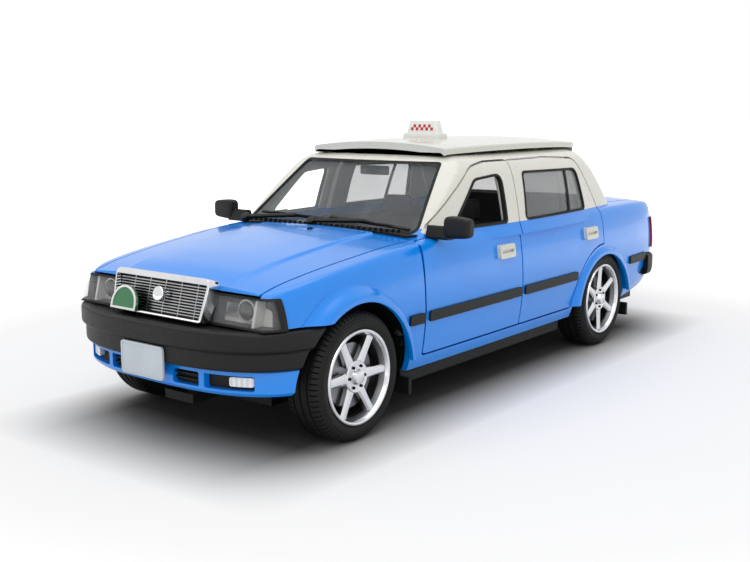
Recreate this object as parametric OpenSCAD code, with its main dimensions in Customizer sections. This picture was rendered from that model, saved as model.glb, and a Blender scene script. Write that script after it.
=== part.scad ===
/* [Body] */
// Distance from the front axle to the front bumper face
front_overhang = 23.4; // [22.9:0.1:24.4]
// Distance from the rear axle to the rear bumper face
rear_overhang = 35.6; // [35.1:0.1:37.1]
// Half width of the body at its widest, without the wheel arch lips
body_half = 25.9; // [25.5:0.1:26.5]
// Height of the sill's lower edge above the ground
sill_z = 8.6; // [8.2:0.1:9]
// Height of the belt line above the ground
belt_z = 31.1; // [30.6:0.1:31.8]
// Height of the cast roof under the roof panel
roof_z = 44.3; // [43.8:0.1:45]
// Wall of the cast body
wall = 1.1; // [1:0.05:1.3]
// Shut gap round doors and lids
shut_gap = 0.35; // [0.3:0.05:0.45]

/* [Wheels] */
// Distance between the axles
wheelbase = 87; // [86:0.5:88]
// Outer radius of a tyre, which is also the height of the axles
tyre_r = 10.7; // [10.4:0.1:10.9]
// Width of a tyre
tyre_w = 7.4; // [7:0.1:7.8]
// Distance of the outer face of a tyre inside the widest line of the body
tyre_in = 0.1; // [0:0.1:0.3]
// Radius of the rim where the tyre sits
rim_r = 7.9; // [7.6:0.1:8.2]
// Radius of the steel axles
axle_r = 1; // [0.9:0.05:1.1]
// Number of spokes in a wheel
spokes = 6; // [5:1:7]

/* [Cabin] */
// Distance of the windscreen's foot behind the front edge of the front doors, at its corners
screen_back = 3.2; // [2.6:0.1:3.8]
// Run of the windscreen along the car, from its foot to its head
screen_run = 15.9; // [15.3:0.1:16.5]
// Distance of the foot of the rear window behind the rear axle
rear_foot_back = 10; // [9.4:0.1:10.2]
// Run of the rear window along the car, from its foot to its head
rear_run = 12.4; // [11.4:0.1:13.4]
// Step of the cabin in from the widest line of the body, at the belt
cabin_step = 0.8; // [0.6:0.1:1.1]
// Lean of the cabin sides from the belt to the roof
tumblehome = 6.8; // [6.3:0.1:7.1]

/* [Doors] */
// Distance of the front edge of the front doors behind the front axle
door_back = 18.1; // [17.6:0.1:18.6]
// Length of the front doors
front_door_len = 32.6; // [32.3:0.1:32.9]
// Distance of the rear edge of the rear doors ahead of the rear axle, at the belt
door_ahead = 0.2; // [0:0.1:0.6]
// Height of the lower edge of the doors
door_foot_z = 11; // [10.8:0.1:11.4]
// Height of the upper edge of the doors over the split
door_head_z = 43; // [42.6:0.1:43.4]
// Distance of the hinge axis ahead of a door's front edge
hinge_ahead = 4; // [3.8:0.1:4.2]
// Distance of the door hinge axes inside the widest line of the body
hinge_in = 2.7; // [2.5:0.1:2.8]
// Radius of a hinge pin
pin_r = 0.6; // [0.5:0.05:0.7]
// Running clearance round a pin or an axle
running_fit = 0.05; // [0.03:0.01:0.08]

/* [Lids] */
// Distance of the bonnet's front corners inside the widest line of the body
bonnet_front_in = 6.3; // [5.9:0.1:6.7]
// Distance of the bonnet's rear corners inside the widest line of the body
bonnet_rear_in = 4.5; // [4.1:0.1:4.9]
// Distance of the boot lid's sides inside the widest line of the body
boot_in = 6.3; // [5.9:0.1:6.9]
// Half width of the part of the boot lid between the tail lamps
boot_face_half = 13.4; // [13:0.1:14]

/* [Hidden] */
$fn = 48;

// Overrun of every cut past the face it cuts
over = 1;
// Ends of the car and axles
half_length = (front_overhang + wheelbase + rear_overhang) / 2;
front_axle_y = front_overhang - half_length;
rear_axle_y = front_axle_y + wheelbase;
axle_z = tyre_r;
// Reach of a cut that goes right out of the car
far = half_length * 2;
// Places along the car that follow the axles
door_front_y = front_axle_y + door_back;
door_split_y = door_front_y + front_door_len;
door_rear_y = rear_axle_y - door_ahead;
screen_foot_y = door_front_y + screen_back;
screen_head_y = screen_foot_y + screen_run;
rear_foot_y = rear_axle_y + rear_foot_back;
rear_head_y = rear_foot_y - rear_run;
// Places across the car that follow the width of the body
cabin_foot_half = body_half - cabin_step;
cabin_head_half = cabin_foot_half - tumblehome;
hinge_x = body_half - hinge_in;
tyre_face_x = body_half - tyre_in;
tyre_back_x = tyre_face_x - tyre_w;
bonnet_front_half = body_half - bonnet_front_in;
bonnet_rear_half = body_half - bonnet_rear_in;
boot_half = body_half - boot_in;

// Lower body: nose, tail, and the rows of shares that its sections follow
nose_back = 7;
tail_back = 2;
nose_y = nose_back - half_length;
tail_y = half_length - tail_back;
side_tuck = 1.6;
nose_lean = 3.7;
deck_crown = 1.2;
end_rise = 3.4;
// Least distance of two sections, where an inward offset crowds them
ring_step = 0.03;
// Along the car: place, width, shoulder height, crown, rise of the lower edge, lean of the nose
station_shares = [
    [0, .834, .773, .55, 1, 1], [.007, .876, .782, .6, .95, .9], [.022, .915, .804, .7, .76, .7],
    [.044, .946, .827, .85, .6, .4], [.088, .969, .867, 1, .35, .1], [.146, .983, .911, 1, .1, 0],
    [.219, .992, .96, .9, 0, 0], [.307, .998, .991, .6, 0, 0], [.423, 1, 1, .5, 0, 0],
    [.569, 1, 1, .5, 0, 0], [.7, .998, 1, .5, 0, 0], [.803, .988, 1, .55, 0, 0],
    [.876, .973, .996, .65, .2, 0], [.934, .95, .987, .7, .5, 0], [.967, .923, .973, .65, .76, 0],
    [.989, .88, .956, .6, .95, 0], [1, .83, .93, .5, 1, 0]];
// Up the side: height, tuck under the widest line, rise with an offset
side_shares = [[0, 1, 0], [.08, .62, 0], [.25, .22, 0], [.44, 0, 0], [.64, .08, 0], [.83, .38, 0],
    [.93, .7, .2], [.985, 1.15, .6], [1, 2, 1]];
// Across the deck, from its edge to the middle
deck_shares = [.7, .38, 0];

// Cabin: height, way of the windscreen, way of the rear window, way of the side, rise with an offset
cabin_shares = [[-.16, -.16, -.2, -.1, 0], [.04, .04, .03, .02, 0], [.22, .22, .18, .1, 0],
    [.48, .48, .42, .23, 0], [.74, .74, .68, .4, .1], [.89, .89, .86, .58, .35],
    [.96, .97, .95, .78, .7], [1, 1.07, 1.05, 1, 1]];
foot_narrow = 2.6;
head_narrow = 1;
cabin_corner = 2.6;
screen_bow = 1.6;
// Round one half of the cabin: which corner radius points of the plan follow
arc_share = .3;
bow_share = .75;
side_run_shares = [[.2, .55], [.35, .9], [.5, 1], [.65, .9], [.82, .55]];

function mix(a, b, t) = a + (b - a) * t;

function reversed(list) = [for (i = [len(list) - 1:-1:0]) list[i]];

function lower_half(row, out, drop) =
    let (w = body_half * row[1])
    let (low = sill_z + end_rise * row[4])
    let (top = sill_z + (belt_z - sill_z) * row[2])
    let (side = [for (s = side_shares)
        [w - side_tuck * s[1] + out * (1 - s[2]), mix(low, top, s[0]) + out * s[2]]])
    let (edge = side[len(side) - 1])
    let (deck = [for (u = deck_shares) [edge[0] * u, edge[1] + deck_crown * row[3] * (1 - u * u)]])
    concat([[side[0][0], low - drop]], side, deck);

function lower_ring(i, out, drop) =
    let (row = station_shares[i])
    let (last = len(station_shares) - 1)
    let (half = lower_half(row, out, drop))
    let (low = sill_z + end_rise * row[4])
    let (top = sill_z + (belt_z - sill_z) * row[2])
    let (least = nose_y - out + i * ring_step)
    let (most = tail_y + out - (last - i) * ring_step)
    let (y = i == 0 ? least : i == last ? most : min(max(mix(nose_y, tail_y, row[0]), least), most))
    let (loop = concat(half, [for (i = [len(half) - 2:-1:0]) [-half[i][0], half[i][1]]]))
    [for (p = loop) [p[0], y - nose_lean * row[5] * (top - p[1]) / (top - low), p[1]]];

function cabin_ring(row, out) =
    let (z = mix(belt_z, roof_z, row[0]) + out * row[4])
    let (front = mix(screen_foot_y, screen_head_y, row[1]) - out)
    let (rear = mix(rear_foot_y, rear_head_y, row[2]) + out)
    let (mid = mix(cabin_foot_half, cabin_head_half, row[3]) + out)
    let (end = mid - mix(foot_narrow, head_narrow, row[0]))
    let (r = cabin_corner)
    let (bow = screen_bow)
    let (half = concat(
        [[0, front - bow], [end / 2, front - bow * bow_share], [end - r, front],
            [end - r * arc_share, front + r * arc_share], [end, front + r]],
        [for (s = side_run_shares) [mix(end, mid, s[1]), mix(front, rear, s[0])]],
        [[end, rear - r], [end - r * arc_share, rear - r * arc_share], [end - r, rear],
            [end / 2, rear + bow * bow_share], [0, rear + bow]]))
    let (back = [for (i = [len(half) - 2:-1:1]) [-half[i][0], half[i][1]]])
    [for (p = concat(half, back)) [p[0], p[1], z]];

module skin(rings) {
    n = len(rings[0]);
    m = len(rings);
    sides = [for (j = [0:m - 2]) for (i = [0:n - 1]) each
        [[j * n + i, (j + 1) * n + (i + 1) % n, (j + 1) * n + i],
            [j * n + i, j * n + (i + 1) % n, (j + 1) * n + (i + 1) % n]]];
    first = [for (i = [n - 1:-1:0]) i];
    last = [for (i = [0:n - 1]) (m - 1) * n + i];
    polyhedron(points = [for (ring = rings) each ring], faces = concat([first], sides, [last]));
}

// The car's outside, moved out by a distance; a drop opens the underside
module lower_form(out, drop = 0) {
    skin([for (i = [0:len(station_shares) - 1]) lower_ring(i, out, drop)]);
}

module cabin_form(out) {
    skin(reversed([for (row = cabin_shares) cabin_ring(row, out)]));
}

module car_form(out, drop = 0) {
    lower_form(out, drop);
    cabin_form(out);
}

module car_layer(outer, inner) {
    difference() {
        car_form(outer);
        car_form(inner, sill_z);
    }
}

module along_x(from, to) {
    translate([from, 0, 0]) rotate([90, 0, 90]) linear_extrude(to - from) children();
}

module along_y(from, to) {
    translate([0, to, 0]) rotate([90, 0, 0]) linear_extrude(to - from) children();
}

module block(from, to) {
    translate(from) cube(to - from);
}

module across(half, y, z) {
    block([-half, y[0], z[0]], [half, y[1], z[1]]);
}

module rod_x(from, to, r, y, z) {
    translate([from, y, z]) rotate([0, 90, 0]) cylinder(h = to - from, r = r);
}

module one_mesh() {
    resize([0, 0, 0]) union() {
        children();
    }
}

module on_side(side) {
    if (side > 0) children();
    else mirror([1, 0, 0]) children();
}

// Wheel arches
arch_r = 12.4;
tyre_gap = 0.7;
arch_drop = 2.2;
lip_out = 0.9;
lip_x = body_half + lip_out;
lip_t = 0.75;
housing_r = 13.5;
housing_gap = 2.9;
housing_in_x = tyre_back_x - housing_gap;
flare_r = 14.3;
flare_w = 2.4;
flare_in_x = lip_x - flare_w;
flare_rim = 0.9;
arch_z = axle_z - arch_drop;

module flares() {
    for (y = [front_axle_y, rear_axle_y]) for (side = [-1, 1]) on_side(side)
        translate([flare_in_x, y, arch_z]) rotate([0, 90, 0])
            cylinder(h = lip_x - flare_in_x, r1 = flare_r + flare_rim, r2 = arch_r + flare_rim, $fn = 58);
}

module wheel_spaces() {
    for (y = [front_axle_y, rear_axle_y]) for (side = [-1, 1]) on_side(side) {
        rod_x(housing_in_x, lip_x - lip_t, housing_r, y, arch_z);
        rod_x(housing_in_x, far, arch_r, y, arch_z);
        block([housing_in_x, y - housing_r, -over], [lip_x - lip_t, y + housing_r, arch_z]);
        block([housing_in_x, y - arch_r, -over], [far, y + arch_r, arch_z]);
    }
}

// Door outlines, seen from the side
rear_cut_r = 14.9;
pillar_lean = 1.2;
door_screen_gap = 2.2;
front_head_back = 2;
front_head_y = screen_head_y + front_head_back;
head_fall = 0.7;
rear_head_ahead = 5;
rear_head_edge_y = rear_head_y - rear_head_ahead;
front_head_share = .4;
rear_head_share = .5;
split_head_y = door_split_y + pillar_lean;
front_head_z = door_head_z - head_fall;

function front_door_points() = [[door_front_y, door_foot_z], [door_split_y, door_foot_z],
    [door_split_y, belt_z], [split_head_y, door_head_z],
    [mix(front_head_y, split_head_y, front_head_share), door_head_z],
    [front_head_y, front_head_z], [screen_foot_y + door_screen_gap, belt_z + wall],
    [door_front_y, belt_z - wall]];

function rear_door_points() = [[door_split_y, door_foot_z], [rear_axle_y - rear_cut_r, door_foot_z],
    [door_rear_y, arch_z + rear_cut_r], [door_rear_y, belt_z],
    [rear_head_edge_y, front_head_z], [mix(split_head_y, rear_head_edge_y, rear_head_share), door_head_z],
    [split_head_y, door_head_z], [door_split_y, belt_z]];

module rear_cut(grow) {
    translate([rear_axle_y, arch_z]) circle(r = rear_cut_r + grow, $fn = 64);
}

// The side of the car that an outline covers: outside the deck below, and up the cabin above
deck_edge_in = 3.2;
deck_edge_x = body_half - deck_edge_in;
deck_edge_rise = 1.2;
screen_post_w = 1.2;

module door_space(grow) {
    difference() {
        along_x(cabin_head_half - cabin_corner, far) children();
        block([0, -far, 0], [deck_edge_x - grow, far, belt_z + deck_edge_rise]);
        along_y(-far, 0) screen_light(screen_post_w - grow);
    }
}

module front_outline(grow) {
    offset(delta = grow) polygon(front_door_points());
}

module rear_outline(grow) {
    difference() {
        offset(delta = grow) polygon(rear_door_points());
        rear_cut(-grow);
    }
}

// Door windows, seen from the side
glass_rise = 0.6;
sill_of_glass_z = belt_z + glass_rise;
glass_head_z = 40.6;
// Distances of the glass corners from the windscreen, the split and the heads of the doors
front_foot_back = 8.54;
front_foot_ahead = 4.24;
front_top_ahead = 3.26;
front_top_in = 0.24;
front_top_fall = 0.62;
rear_foot_in = 2.7;
rear_top_in = 4.7;
rear_top_ahead = 1.1;
rear_top_fall = 0.44;
rear_foot_ahead = 7.22;
glass_round = 0.8;

module front_light() {
    offset(r = glass_round, $fn = 20) offset(delta = -glass_round)
        polygon([[screen_foot_y + front_foot_back, sill_of_glass_z],
            [door_split_y - front_foot_ahead, sill_of_glass_z], [door_split_y - front_top_ahead, glass_head_z],
            [front_head_y - front_top_in, glass_head_z - front_top_fall]]);
}

module rear_light() {
    offset(r = glass_round, $fn = 20) offset(delta = -glass_round)
        polygon([[door_split_y + rear_foot_in, sill_of_glass_z], [door_split_y + rear_top_in, glass_head_z],
            [rear_head_edge_y - rear_top_ahead, glass_head_z - rear_top_fall],
            [door_rear_y - rear_foot_ahead, sill_of_glass_z]]);
}

// Bonnet and boot lid outlines, seen from above
bonnet_back = 0.5;
bonnet_rear_y = door_front_y + bonnet_back;
lid_back_gap = 0.9;
bonnet_lip_z = 25.7;
boot_back = 3;
boot_front_y = rear_foot_y + boot_back;
boot_deck_z = 28.4;
boot_foot_z = 19.2;
boot_face_deep = 7;
boot_face_y = tail_y - boot_face_deep;

module bonnet_outline() {
    polygon([[-bonnet_front_half, nose_y - nose_lean], [bonnet_front_half, nose_y - nose_lean],
        [bonnet_rear_half, bonnet_rear_y], [-bonnet_rear_half, bonnet_rear_y]]);
}

module bonnet_space(grow, back) {
    translate([0, 0, bonnet_lip_z - grow]) linear_extrude(far) {
        offset(delta = grow) bonnet_outline();
        translate([-bonnet_rear_half - grow, bonnet_rear_y - over])
            square([2 * (bonnet_rear_half + grow), back + over]);
    }
}

module boot_space(grow, ahead) {
    block([-boot_half - grow, boot_front_y - ahead, boot_deck_z - grow], [boot_half + grow, far, far]);
    block([-boot_face_half - grow, boot_face_y, boot_foot_z - grow], [boot_face_half + grow, far, far]);
}

// Front and rear windows, seen from the front
screen_foot_in = 4.5;
screen_foot_half = cabin_foot_half - screen_foot_in;
screen_foot_z = belt_z + glass_rise;
screen_head_in = 1.9;
screen_head_half = cabin_head_half - screen_head_in;
screen_head_z = 43;
rear_glass_foot_in = 5.7;
rear_glass_foot_half = cabin_foot_half - rear_glass_foot_in;
rear_glass_rise = 1.6;
rear_glass_foot_z = belt_z + rear_glass_rise;
rear_glass_head_in = 2.7;
rear_glass_head_half = cabin_head_half - rear_glass_head_in;
rear_glass_head_z = 42.2;
seal_gap = 0.15;

module screen_light(grow) {
    offset(delta = grow) polygon([[-screen_foot_half, screen_foot_z], [screen_foot_half, screen_foot_z],
        [screen_head_half, screen_head_z], [-screen_head_half, screen_head_z]]);
}

module rear_screen_light(grow) {
    offset(delta = grow) polygon([[-rear_glass_foot_half, rear_glass_foot_z],
        [rear_glass_foot_half, rear_glass_foot_z], [rear_glass_head_half, rear_glass_head_z],
        [-rear_glass_head_half, rear_glass_head_z]]);
}

// Lamps
lamp_in_x = 11.9;
lamp_low_z = 20.7;
lamp_high_z = 25.3;
lamp_deep = 3.5;
lamp_back_y = nose_y + lamp_deep;
reflector_back = 1.2;
lens_t = 0.7;
lens_proud = 0.2;
lamp_fit = 0.1;
tail_in_x = 14;
tail_low_z = 19.2;
tail_high_z = 26.6;
tail_deep = 4.5;
tail_front_y = tail_y - tail_deep;
tail_proud = 0.5;
tail_t = 0.9;

module lamp_space(grow) {
    block([lamp_in_x - grow, -far, lamp_low_z - grow], [far, lamp_back_y + grow, lamp_high_z + grow]);
}

module tail_space(grow) {
    block([tail_in_x - grow, tail_front_y - grow, tail_low_z - grow], [far, far, tail_high_z + grow]);
}

// Bumpers
bumper_ahead = 5.8;
bumper_end_y = front_axle_y - bumper_ahead;
bumper_top_z = 20.5;
bumper_step_z = 17.4;
bumper_low_z = 14.3;
bumper_in = 0.2;
bumper_half = body_half - bumper_in;
bumper_t = 2.2;
bumper_step = 0.6;
bumper_power = 3.4;
apron_low_z = 10.2;
apron_in = 0.8;
apron_half = bumper_half - apron_in;
apron_back = 2.1;
apron_front_y = apron_back - half_length;
apron_t = 1.4;
rear_bumper_deep = 10.7;
rear_bumper_start_y = half_length - rear_bumper_deep;
rear_bumper_top_z = 17.9;
rear_bumper_low_z = 12.9;
rear_bumper_in = 0.5;
rear_bumper_half = body_half - rear_bumper_in;
rear_bumper_power = 2.8;
bumper_arc_steps = 40;
flange_z = 20;
flange_t = 0.8;
flange_w = 5;

function bow_points(half, start_y, end_y, power) =
    [for (i = [0:bumper_arc_steps])
        let (a = 180 * i / bumper_arc_steps)
        [half * sign(cos(a)) * pow(abs(cos(a)), 2 / power),
            start_y + (end_y - start_y) * pow(abs(sin(a)), 2 / power)]];

module bow_bar(half, start_y, end_y, power, t) {
    dir = sign(end_y - start_y);
    difference() {
        polygon(bow_points(half, start_y, end_y, power));
        polygon(concat(bow_points(half - t, start_y, end_y - dir * t, power),
            [[-half + t, start_y - dir * over], [half - t, start_y - dir * over]]));
    }
}

// Screw posts of the body
post_r = 2.2;
screw_r = 0.8;
screw_head_r = 1.6;
screw_head_h = 0.9;
screw_len = 5;
screw_tip_gap = 0.3;
front_post_back = 3.8;
front_post_y = nose_y + front_post_back;
rear_post_ahead = 7;
rear_post_y = tail_y - rear_post_ahead;
chassis_z = 6;
chassis_t = 1.5;
chassis_top_z = chassis_z + chassis_t;

module screw_post(y, top_z) {
    difference() {
        translate([0, y, chassis_top_z]) cylinder(h = top_z - chassis_top_z, r = post_r, $fn = 24);
        translate([0, y, 0])
            cylinder(h = chassis_z + screw_len + screw_tip_gap, r = screw_r + running_fit, $fn = 24);
    }
}

// Inner centre pillars, behind the door frames
pillar_back = 1.4;
pillar_t = 1.2;
pillar_low_z = 29.8;
pillar_ahead = 2.3;
pillar_front_y = door_split_y - pillar_ahead;
pillar_behind = 3.3;
pillar_rear_y = door_split_y + pillar_behind;

module centre_pillars() {
    intersection() {
        difference() {
            car_form(-pillar_back);
            car_form(-pillar_back - pillar_t, sill_z);
        }
        along_x(-far, far) polygon([[pillar_front_y, pillar_low_z], [pillar_rear_y, pillar_low_z],
            [pillar_rear_y + pillar_lean, roof_z - wall], [pillar_front_y + pillar_lean, roof_z - wall]]);
    }
    intersection() {
        cabin_form(-wall / 2);
        block([-cabin_head_half, pillar_front_y + pillar_lean, roof_z - pillar_back - pillar_t],
            [cabin_head_half, pillar_rear_y + pillar_lean, roof_z]);
    }
}

// Bulkhead behind the lamps, with a web at the inner side of each
bulkhead_t = 1.2;
bulkhead_y = lamp_back_y + lamp_fit;
bulkhead_low_z = bumper_top_z + shut_gap;
bulkhead_high_z = bonnet_lip_z - shut_gap;

module nose_bulkhead() {
    intersection() {
        lower_form(-wall / 2);
        union() {
            block([-far, bulkhead_y, bulkhead_low_z], [far, bulkhead_y + bulkhead_t, bulkhead_high_z]);
            for (side = [-1, 1]) on_side(side)
                block([lamp_in_x - lamp_fit - bulkhead_t, -far, bulkhead_low_z],
                    [lamp_in_x - lamp_fit, bulkhead_y + bulkhead_t / 2, bulkhead_high_z]);
        }
    }
}

shelf_web_t = 1.4;

module body_shell() {
    color("deepskyblue") one_mesh() {
        difference() {
            union() {
                car_layer(0, -wall);
                difference() {
                    flares();
                    car_form(-wall, sill_z);
                    block([-far, -far, -far], [far, far, door_foot_z]);
                }
            }
            wheel_spaces();
            for (side = [-1, 1]) on_side(side) door_space(shut_gap) {
                front_outline(shut_gap);
                rear_outline(shut_gap);
            }
            bonnet_space(shut_gap, lid_back_gap);
            boot_space(shut_gap, lid_back_gap);
            along_y(-far, 0) screen_light(0);
            along_y(0, far) rear_screen_light(0);
            block([-far, -far, -over], [far, bumper_end_y + shut_gap, bumper_top_z + shut_gap]);
            block([-far, rear_bumper_start_y - shut_gap, rear_bumper_low_z - shut_gap],
                [far, far, rear_bumper_top_z + shut_gap]);
            for (side = [-1, 1]) on_side(side) {
                lamp_space(lamp_fit);
                tail_space(lamp_fit);
            }
        }
        centre_pillars();
        nose_bulkhead();
        screw_post(front_post_y, lamp_low_z + post_r);
        screw_post(rear_post_y, rear_bumper_low_z - shut_gap);
        block([-post_r, rear_post_y, rear_bumper_low_z - shut_gap - shelf_web_t],
            [post_r, tail_y - wall / 2, rear_bumper_low_z - shut_gap]);
    }
}

// Roof panel: place along the car, width, edge height and crown, as shares
panel_ahead = 0.2;
panel_front_y = screen_head_y - panel_ahead;
panel_behind = 2.2;
panel_rear_y = rear_head_y + panel_behind;
panel_out = 0.4;
panel_half = cabin_head_half + panel_out;
panel_edge_z = 46.2;
panel_arch = 0.9;
panel_crown = 1;
panel_lip = 1.2;
panel_t = 0.8;
panel_inset = 0.9;
panel_shares = [[0, .87, .5], [.03, .9, .62], [.12, .945, .8], [.3, .99, .97], [.5, 1, 1], [.7, .995, .9],
    [.9, .97, .62], [.975, .95, .42], [1, .93, .35]];
panel_across_shares = [1, .8, .45, 0, -.45, -.8, -1];
peg_r = 1.5;
peg_x = 11;
peg_run_shares = [.15, .85];

function panel_ring(row) =
    let (y = mix(panel_front_y, panel_rear_y, row[0]))
    let (w = panel_half * row[1])
    let (edge = panel_edge_z - panel_arch * (1 - row[2]))
    let (top = [for (u = panel_across_shares) [w * u, edge + panel_crown * (1 - u * u)]])
    let (low = [for (u = reversed(panel_across_shares))
        [(w - panel_inset) * u, edge - panel_t + panel_crown * (1 - u * u)]])
    let (lip = edge - panel_lip)
    let (left = [[-w, lip], [-w + panel_inset, lip]])
    let (right = [[w - panel_inset, lip], [w, lip]])
    [for (p = concat(top, left, low, right)) [p[0], y, p[1]]];

module roof_panel() {
    color("whitesmoke") one_mesh() {
        skin([for (row = panel_shares) panel_ring(row)]);
        for (s = peg_run_shares) for (side = [-1, 1])
            translate([side * peg_x, mix(panel_front_y, panel_rear_y, s), roof_z])
                cylinder(h = panel_edge_z - roof_z, r = peg_r, $fn = 20);
    }
}

// Roof sign
sign_back = 16.6;
sign_y = panel_front_y + sign_back;
sign_half = 4.1;
sign_head_half = 3.4;
sign_depth = 2.6;
sign_base_z = panel_edge_z + panel_crown;
sign_base_h = 0.9;
sign_base_out = 0.5;
sign_h = 2.6;
sign_base_d = sign_depth + 2 * sign_base_out;

module roof_sign() {
    color("white") {
        across(sign_half + sign_base_out, [sign_y - sign_base_d / 2, sign_y + sign_base_d / 2],
            [sign_base_z, sign_base_z + sign_base_h]);
        along_y(sign_y - sign_depth / 2, sign_y + sign_depth / 2) translate([0, sign_base_z + sign_base_h])
            polygon([[-sign_half, 0], [sign_half, 0], [sign_head_half, sign_h], [-sign_head_half, sign_h]]);
    }
}

// Glass
glass_back = 0.15;
glass_t = 0.8;

module windscreen() {
    color("lightgrey", 0.4) one_mesh() intersection() {
        difference() {
            cabin_form(-glass_back);
            cabin_form(-glass_back - glass_t);
        }
        along_y(-far, 0) screen_light(-seal_gap);
    }
}

module rear_window() {
    color("lightgrey", 0.4) one_mesh() intersection() {
        difference() {
            cabin_form(-glass_back);
            cabin_form(-glass_back - glass_t);
        }
        along_y(0, far) rear_screen_light(-seal_gap);
    }
}

// Lids
lid_axis_in = 6;
bonnet_axis_z = 28.2;
boot_axis_z = 28.9;
lid_arm_t = 1.6;
lid_arm_h = 0.5;
lid_arm_len = 4.5;
knuckle_r = 1.1;
lug_t = 1.5;
lug_gap = 0.2;
lid_arm_gap = 2.4;
post_deep = 7.8;
post_in_x = hinge_x - post_deep;
lid_arm_x = post_in_x - lid_arm_gap;
bonnet_axis_y = bonnet_rear_y - lid_axis_in;
boot_axis_y = boot_front_y + lid_axis_in;

module bonnet() {
    color("deepskyblue") one_mesh() intersection() {
        difference() {
            lower_form(0);
            lower_form(-wall, sill_z);
        }
        bonnet_space(0, 0);
    }
}

module boot_lid() {
    color("deepskyblue") one_mesh() intersection() {
        difference() {
            lower_form(0);
            lower_form(-wall, sill_z);
        }
        boot_space(0, 0);
    }
}

module lid_arms(axis_y, axis_z, run) {
    for (side = [-1, 1]) on_side(side) difference() {
        union() {
            rod_x(lid_arm_x, lid_arm_x + lid_arm_t, knuckle_r, axis_y, axis_z);
            block([lid_arm_x, min(axis_y, axis_y + run), axis_z],
                [lid_arm_x + lid_arm_t, max(axis_y, axis_y + run), axis_z + lid_arm_h]);
        }
        rod_x(lid_arm_x - over, lid_arm_x + lid_arm_t + over, pin_r + running_fit, axis_y, axis_z);
    }
}

module bonnet_hinge() {
    color("black") lid_arms(bonnet_axis_y, bonnet_axis_z, -lid_arm_len);
}

module boot_hinge() {
    color("black") lid_arms(boot_axis_y, boot_axis_z, lid_arm_len);
}

// Doors
door_t = 1;
hinge_clear = 0.12;
card_in = 2.5;
card_out_x = body_half - card_in;
card_t = 1;
card_low_z = 12.6;
card_high_z = 29.4;
card_front_in = 5.4;
front_card_ahead = 7.7;
front_card_rear_y = door_split_y - front_card_ahead;
rear_card_ahead = 3.2;
rear_card_rear_y = door_rear_y - rear_card_ahead;
boss_r = 1.2;
boss_z = 21;

// Up the door: height, tuck of the panel ahead
swing_shares = [[.03, .9], [.21, .3], [.45, 0], [.71, .15], [1.04, .5]];

function hinge_y(front_edge) = front_edge - hinge_ahead;

// Lathe cut that keeps a door's front edge clear of the panel ahead of it as it swings
module swing_cut(front_edge) {
    profile = [for (s = swing_shares)
        [norm([body_half - side_tuck * s[1] - hinge_x, hinge_ahead - shut_gap / 2]) + hinge_clear,
            mix(sill_z, belt_z, s[0])]];
    translate([hinge_x, hinge_y(front_edge), 0])
        rotate_extrude($fn = 52) polygon(concat([[0, profile[0][1]]], profile, [[0, profile[4][1]]]));
}

// The shut gap between the doors of one side
module split_band() {
    half = shut_gap / 2;
    polygon([[door_split_y - half, 0], [door_split_y + half, 0], [door_split_y + half, belt_z],
        [split_head_y + half, door_head_z], [split_head_y + half, far], [split_head_y - half, far],
        [split_head_y - half, door_head_z], [door_split_y - half, belt_z]]);
}

module door_skin(front_edge, boss_ys) {
    intersection() {
        difference() {
            car_form(0);
            car_form(-door_t, sill_z);
        }
        door_space(0) difference() {
            children(0);
            children(1);
        }
        difference() {
            block([0, -far, 0], [far, far, far]);
            swing_cut(front_edge);
        }
    }
    for (y = boss_ys) intersection() {
        rod_x(card_out_x, body_half, boss_r, y, boss_z, $fn = 16);
        car_form(-door_t / 2);
    }
    children(2);
}

front_boss_back = 5.5;
front_boss_ahead = 11.1;
rear_boss_back = 7.9;
rear_boss_ahead = 18.4;
front_boss_ys = [door_front_y + front_boss_back, door_split_y - front_boss_ahead];
rear_boss_ys = [door_split_y + rear_boss_back, rear_axle_y - rear_boss_ahead];
handle_proud = 0.8;
handle_len = 5.4;
handle_h = 2.6;
handle_slot = 0.6;
front_handle_ahead = 6.3;
front_handle_y = door_split_y - front_handle_ahead;
rear_handle_ahead = 6.8;
rear_handle_y = door_rear_y - rear_handle_ahead;
handle_z = 25;

// Double bar pull handle, cast on the door
module door_handle(y) {
    intersection() {
        difference() {
            lower_form(handle_proud);
            lower_form(-door_t / 2, sill_z);
            block([0, y + handle_slot, handle_z + handle_h / 2 - handle_slot / 2],
                [far, y + handle_len - handle_slot, handle_z + handle_h / 2 + handle_slot / 2]);
        }
        block([0, y, handle_z], [far, y + handle_len, handle_z + handle_h]);
    }
}

module front_door() {
    color("deepskyblue") one_mesh() door_skin(door_front_y, front_boss_ys) {
        difference() {
            front_outline(0);
            split_band();
        }
        front_light();
        door_handle(front_handle_y);
    }
}

module rear_door() {
    color("deepskyblue") one_mesh() door_skin(door_split_y, rear_boss_ys) {
        difference() {
            rear_outline(0);
            split_band();
        }
        rear_light();
        door_handle(rear_handle_y);
    }
}

module rear_door_glass() {
    color("slategrey", 0.5) one_mesh() intersection() {
        difference() {
            cabin_form(-glass_back);
            cabin_form(-glass_back - glass_t);
        }
        along_x(0, far) offset(delta = -seal_gap) rear_light();
    }
}

// Goose neck arms of the doors, seen from above with the hinge axis at zero: back, outward
arm_low_z = 15;
arm_high_z = 23.8;
neck_shares = [[0, 0], [.33, -.5], [.68, -.98], [1.33, -.93], [1.48, -.5], [1.48, 0]];
neck_w = 1.3;

module neck_link(a, b) {
    hull() {
        translate(a) circle(r = neck_w / 2, $fn = 20);
        translate(b) circle(r = neck_w / 2, $fn = 20);
    }
}

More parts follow.
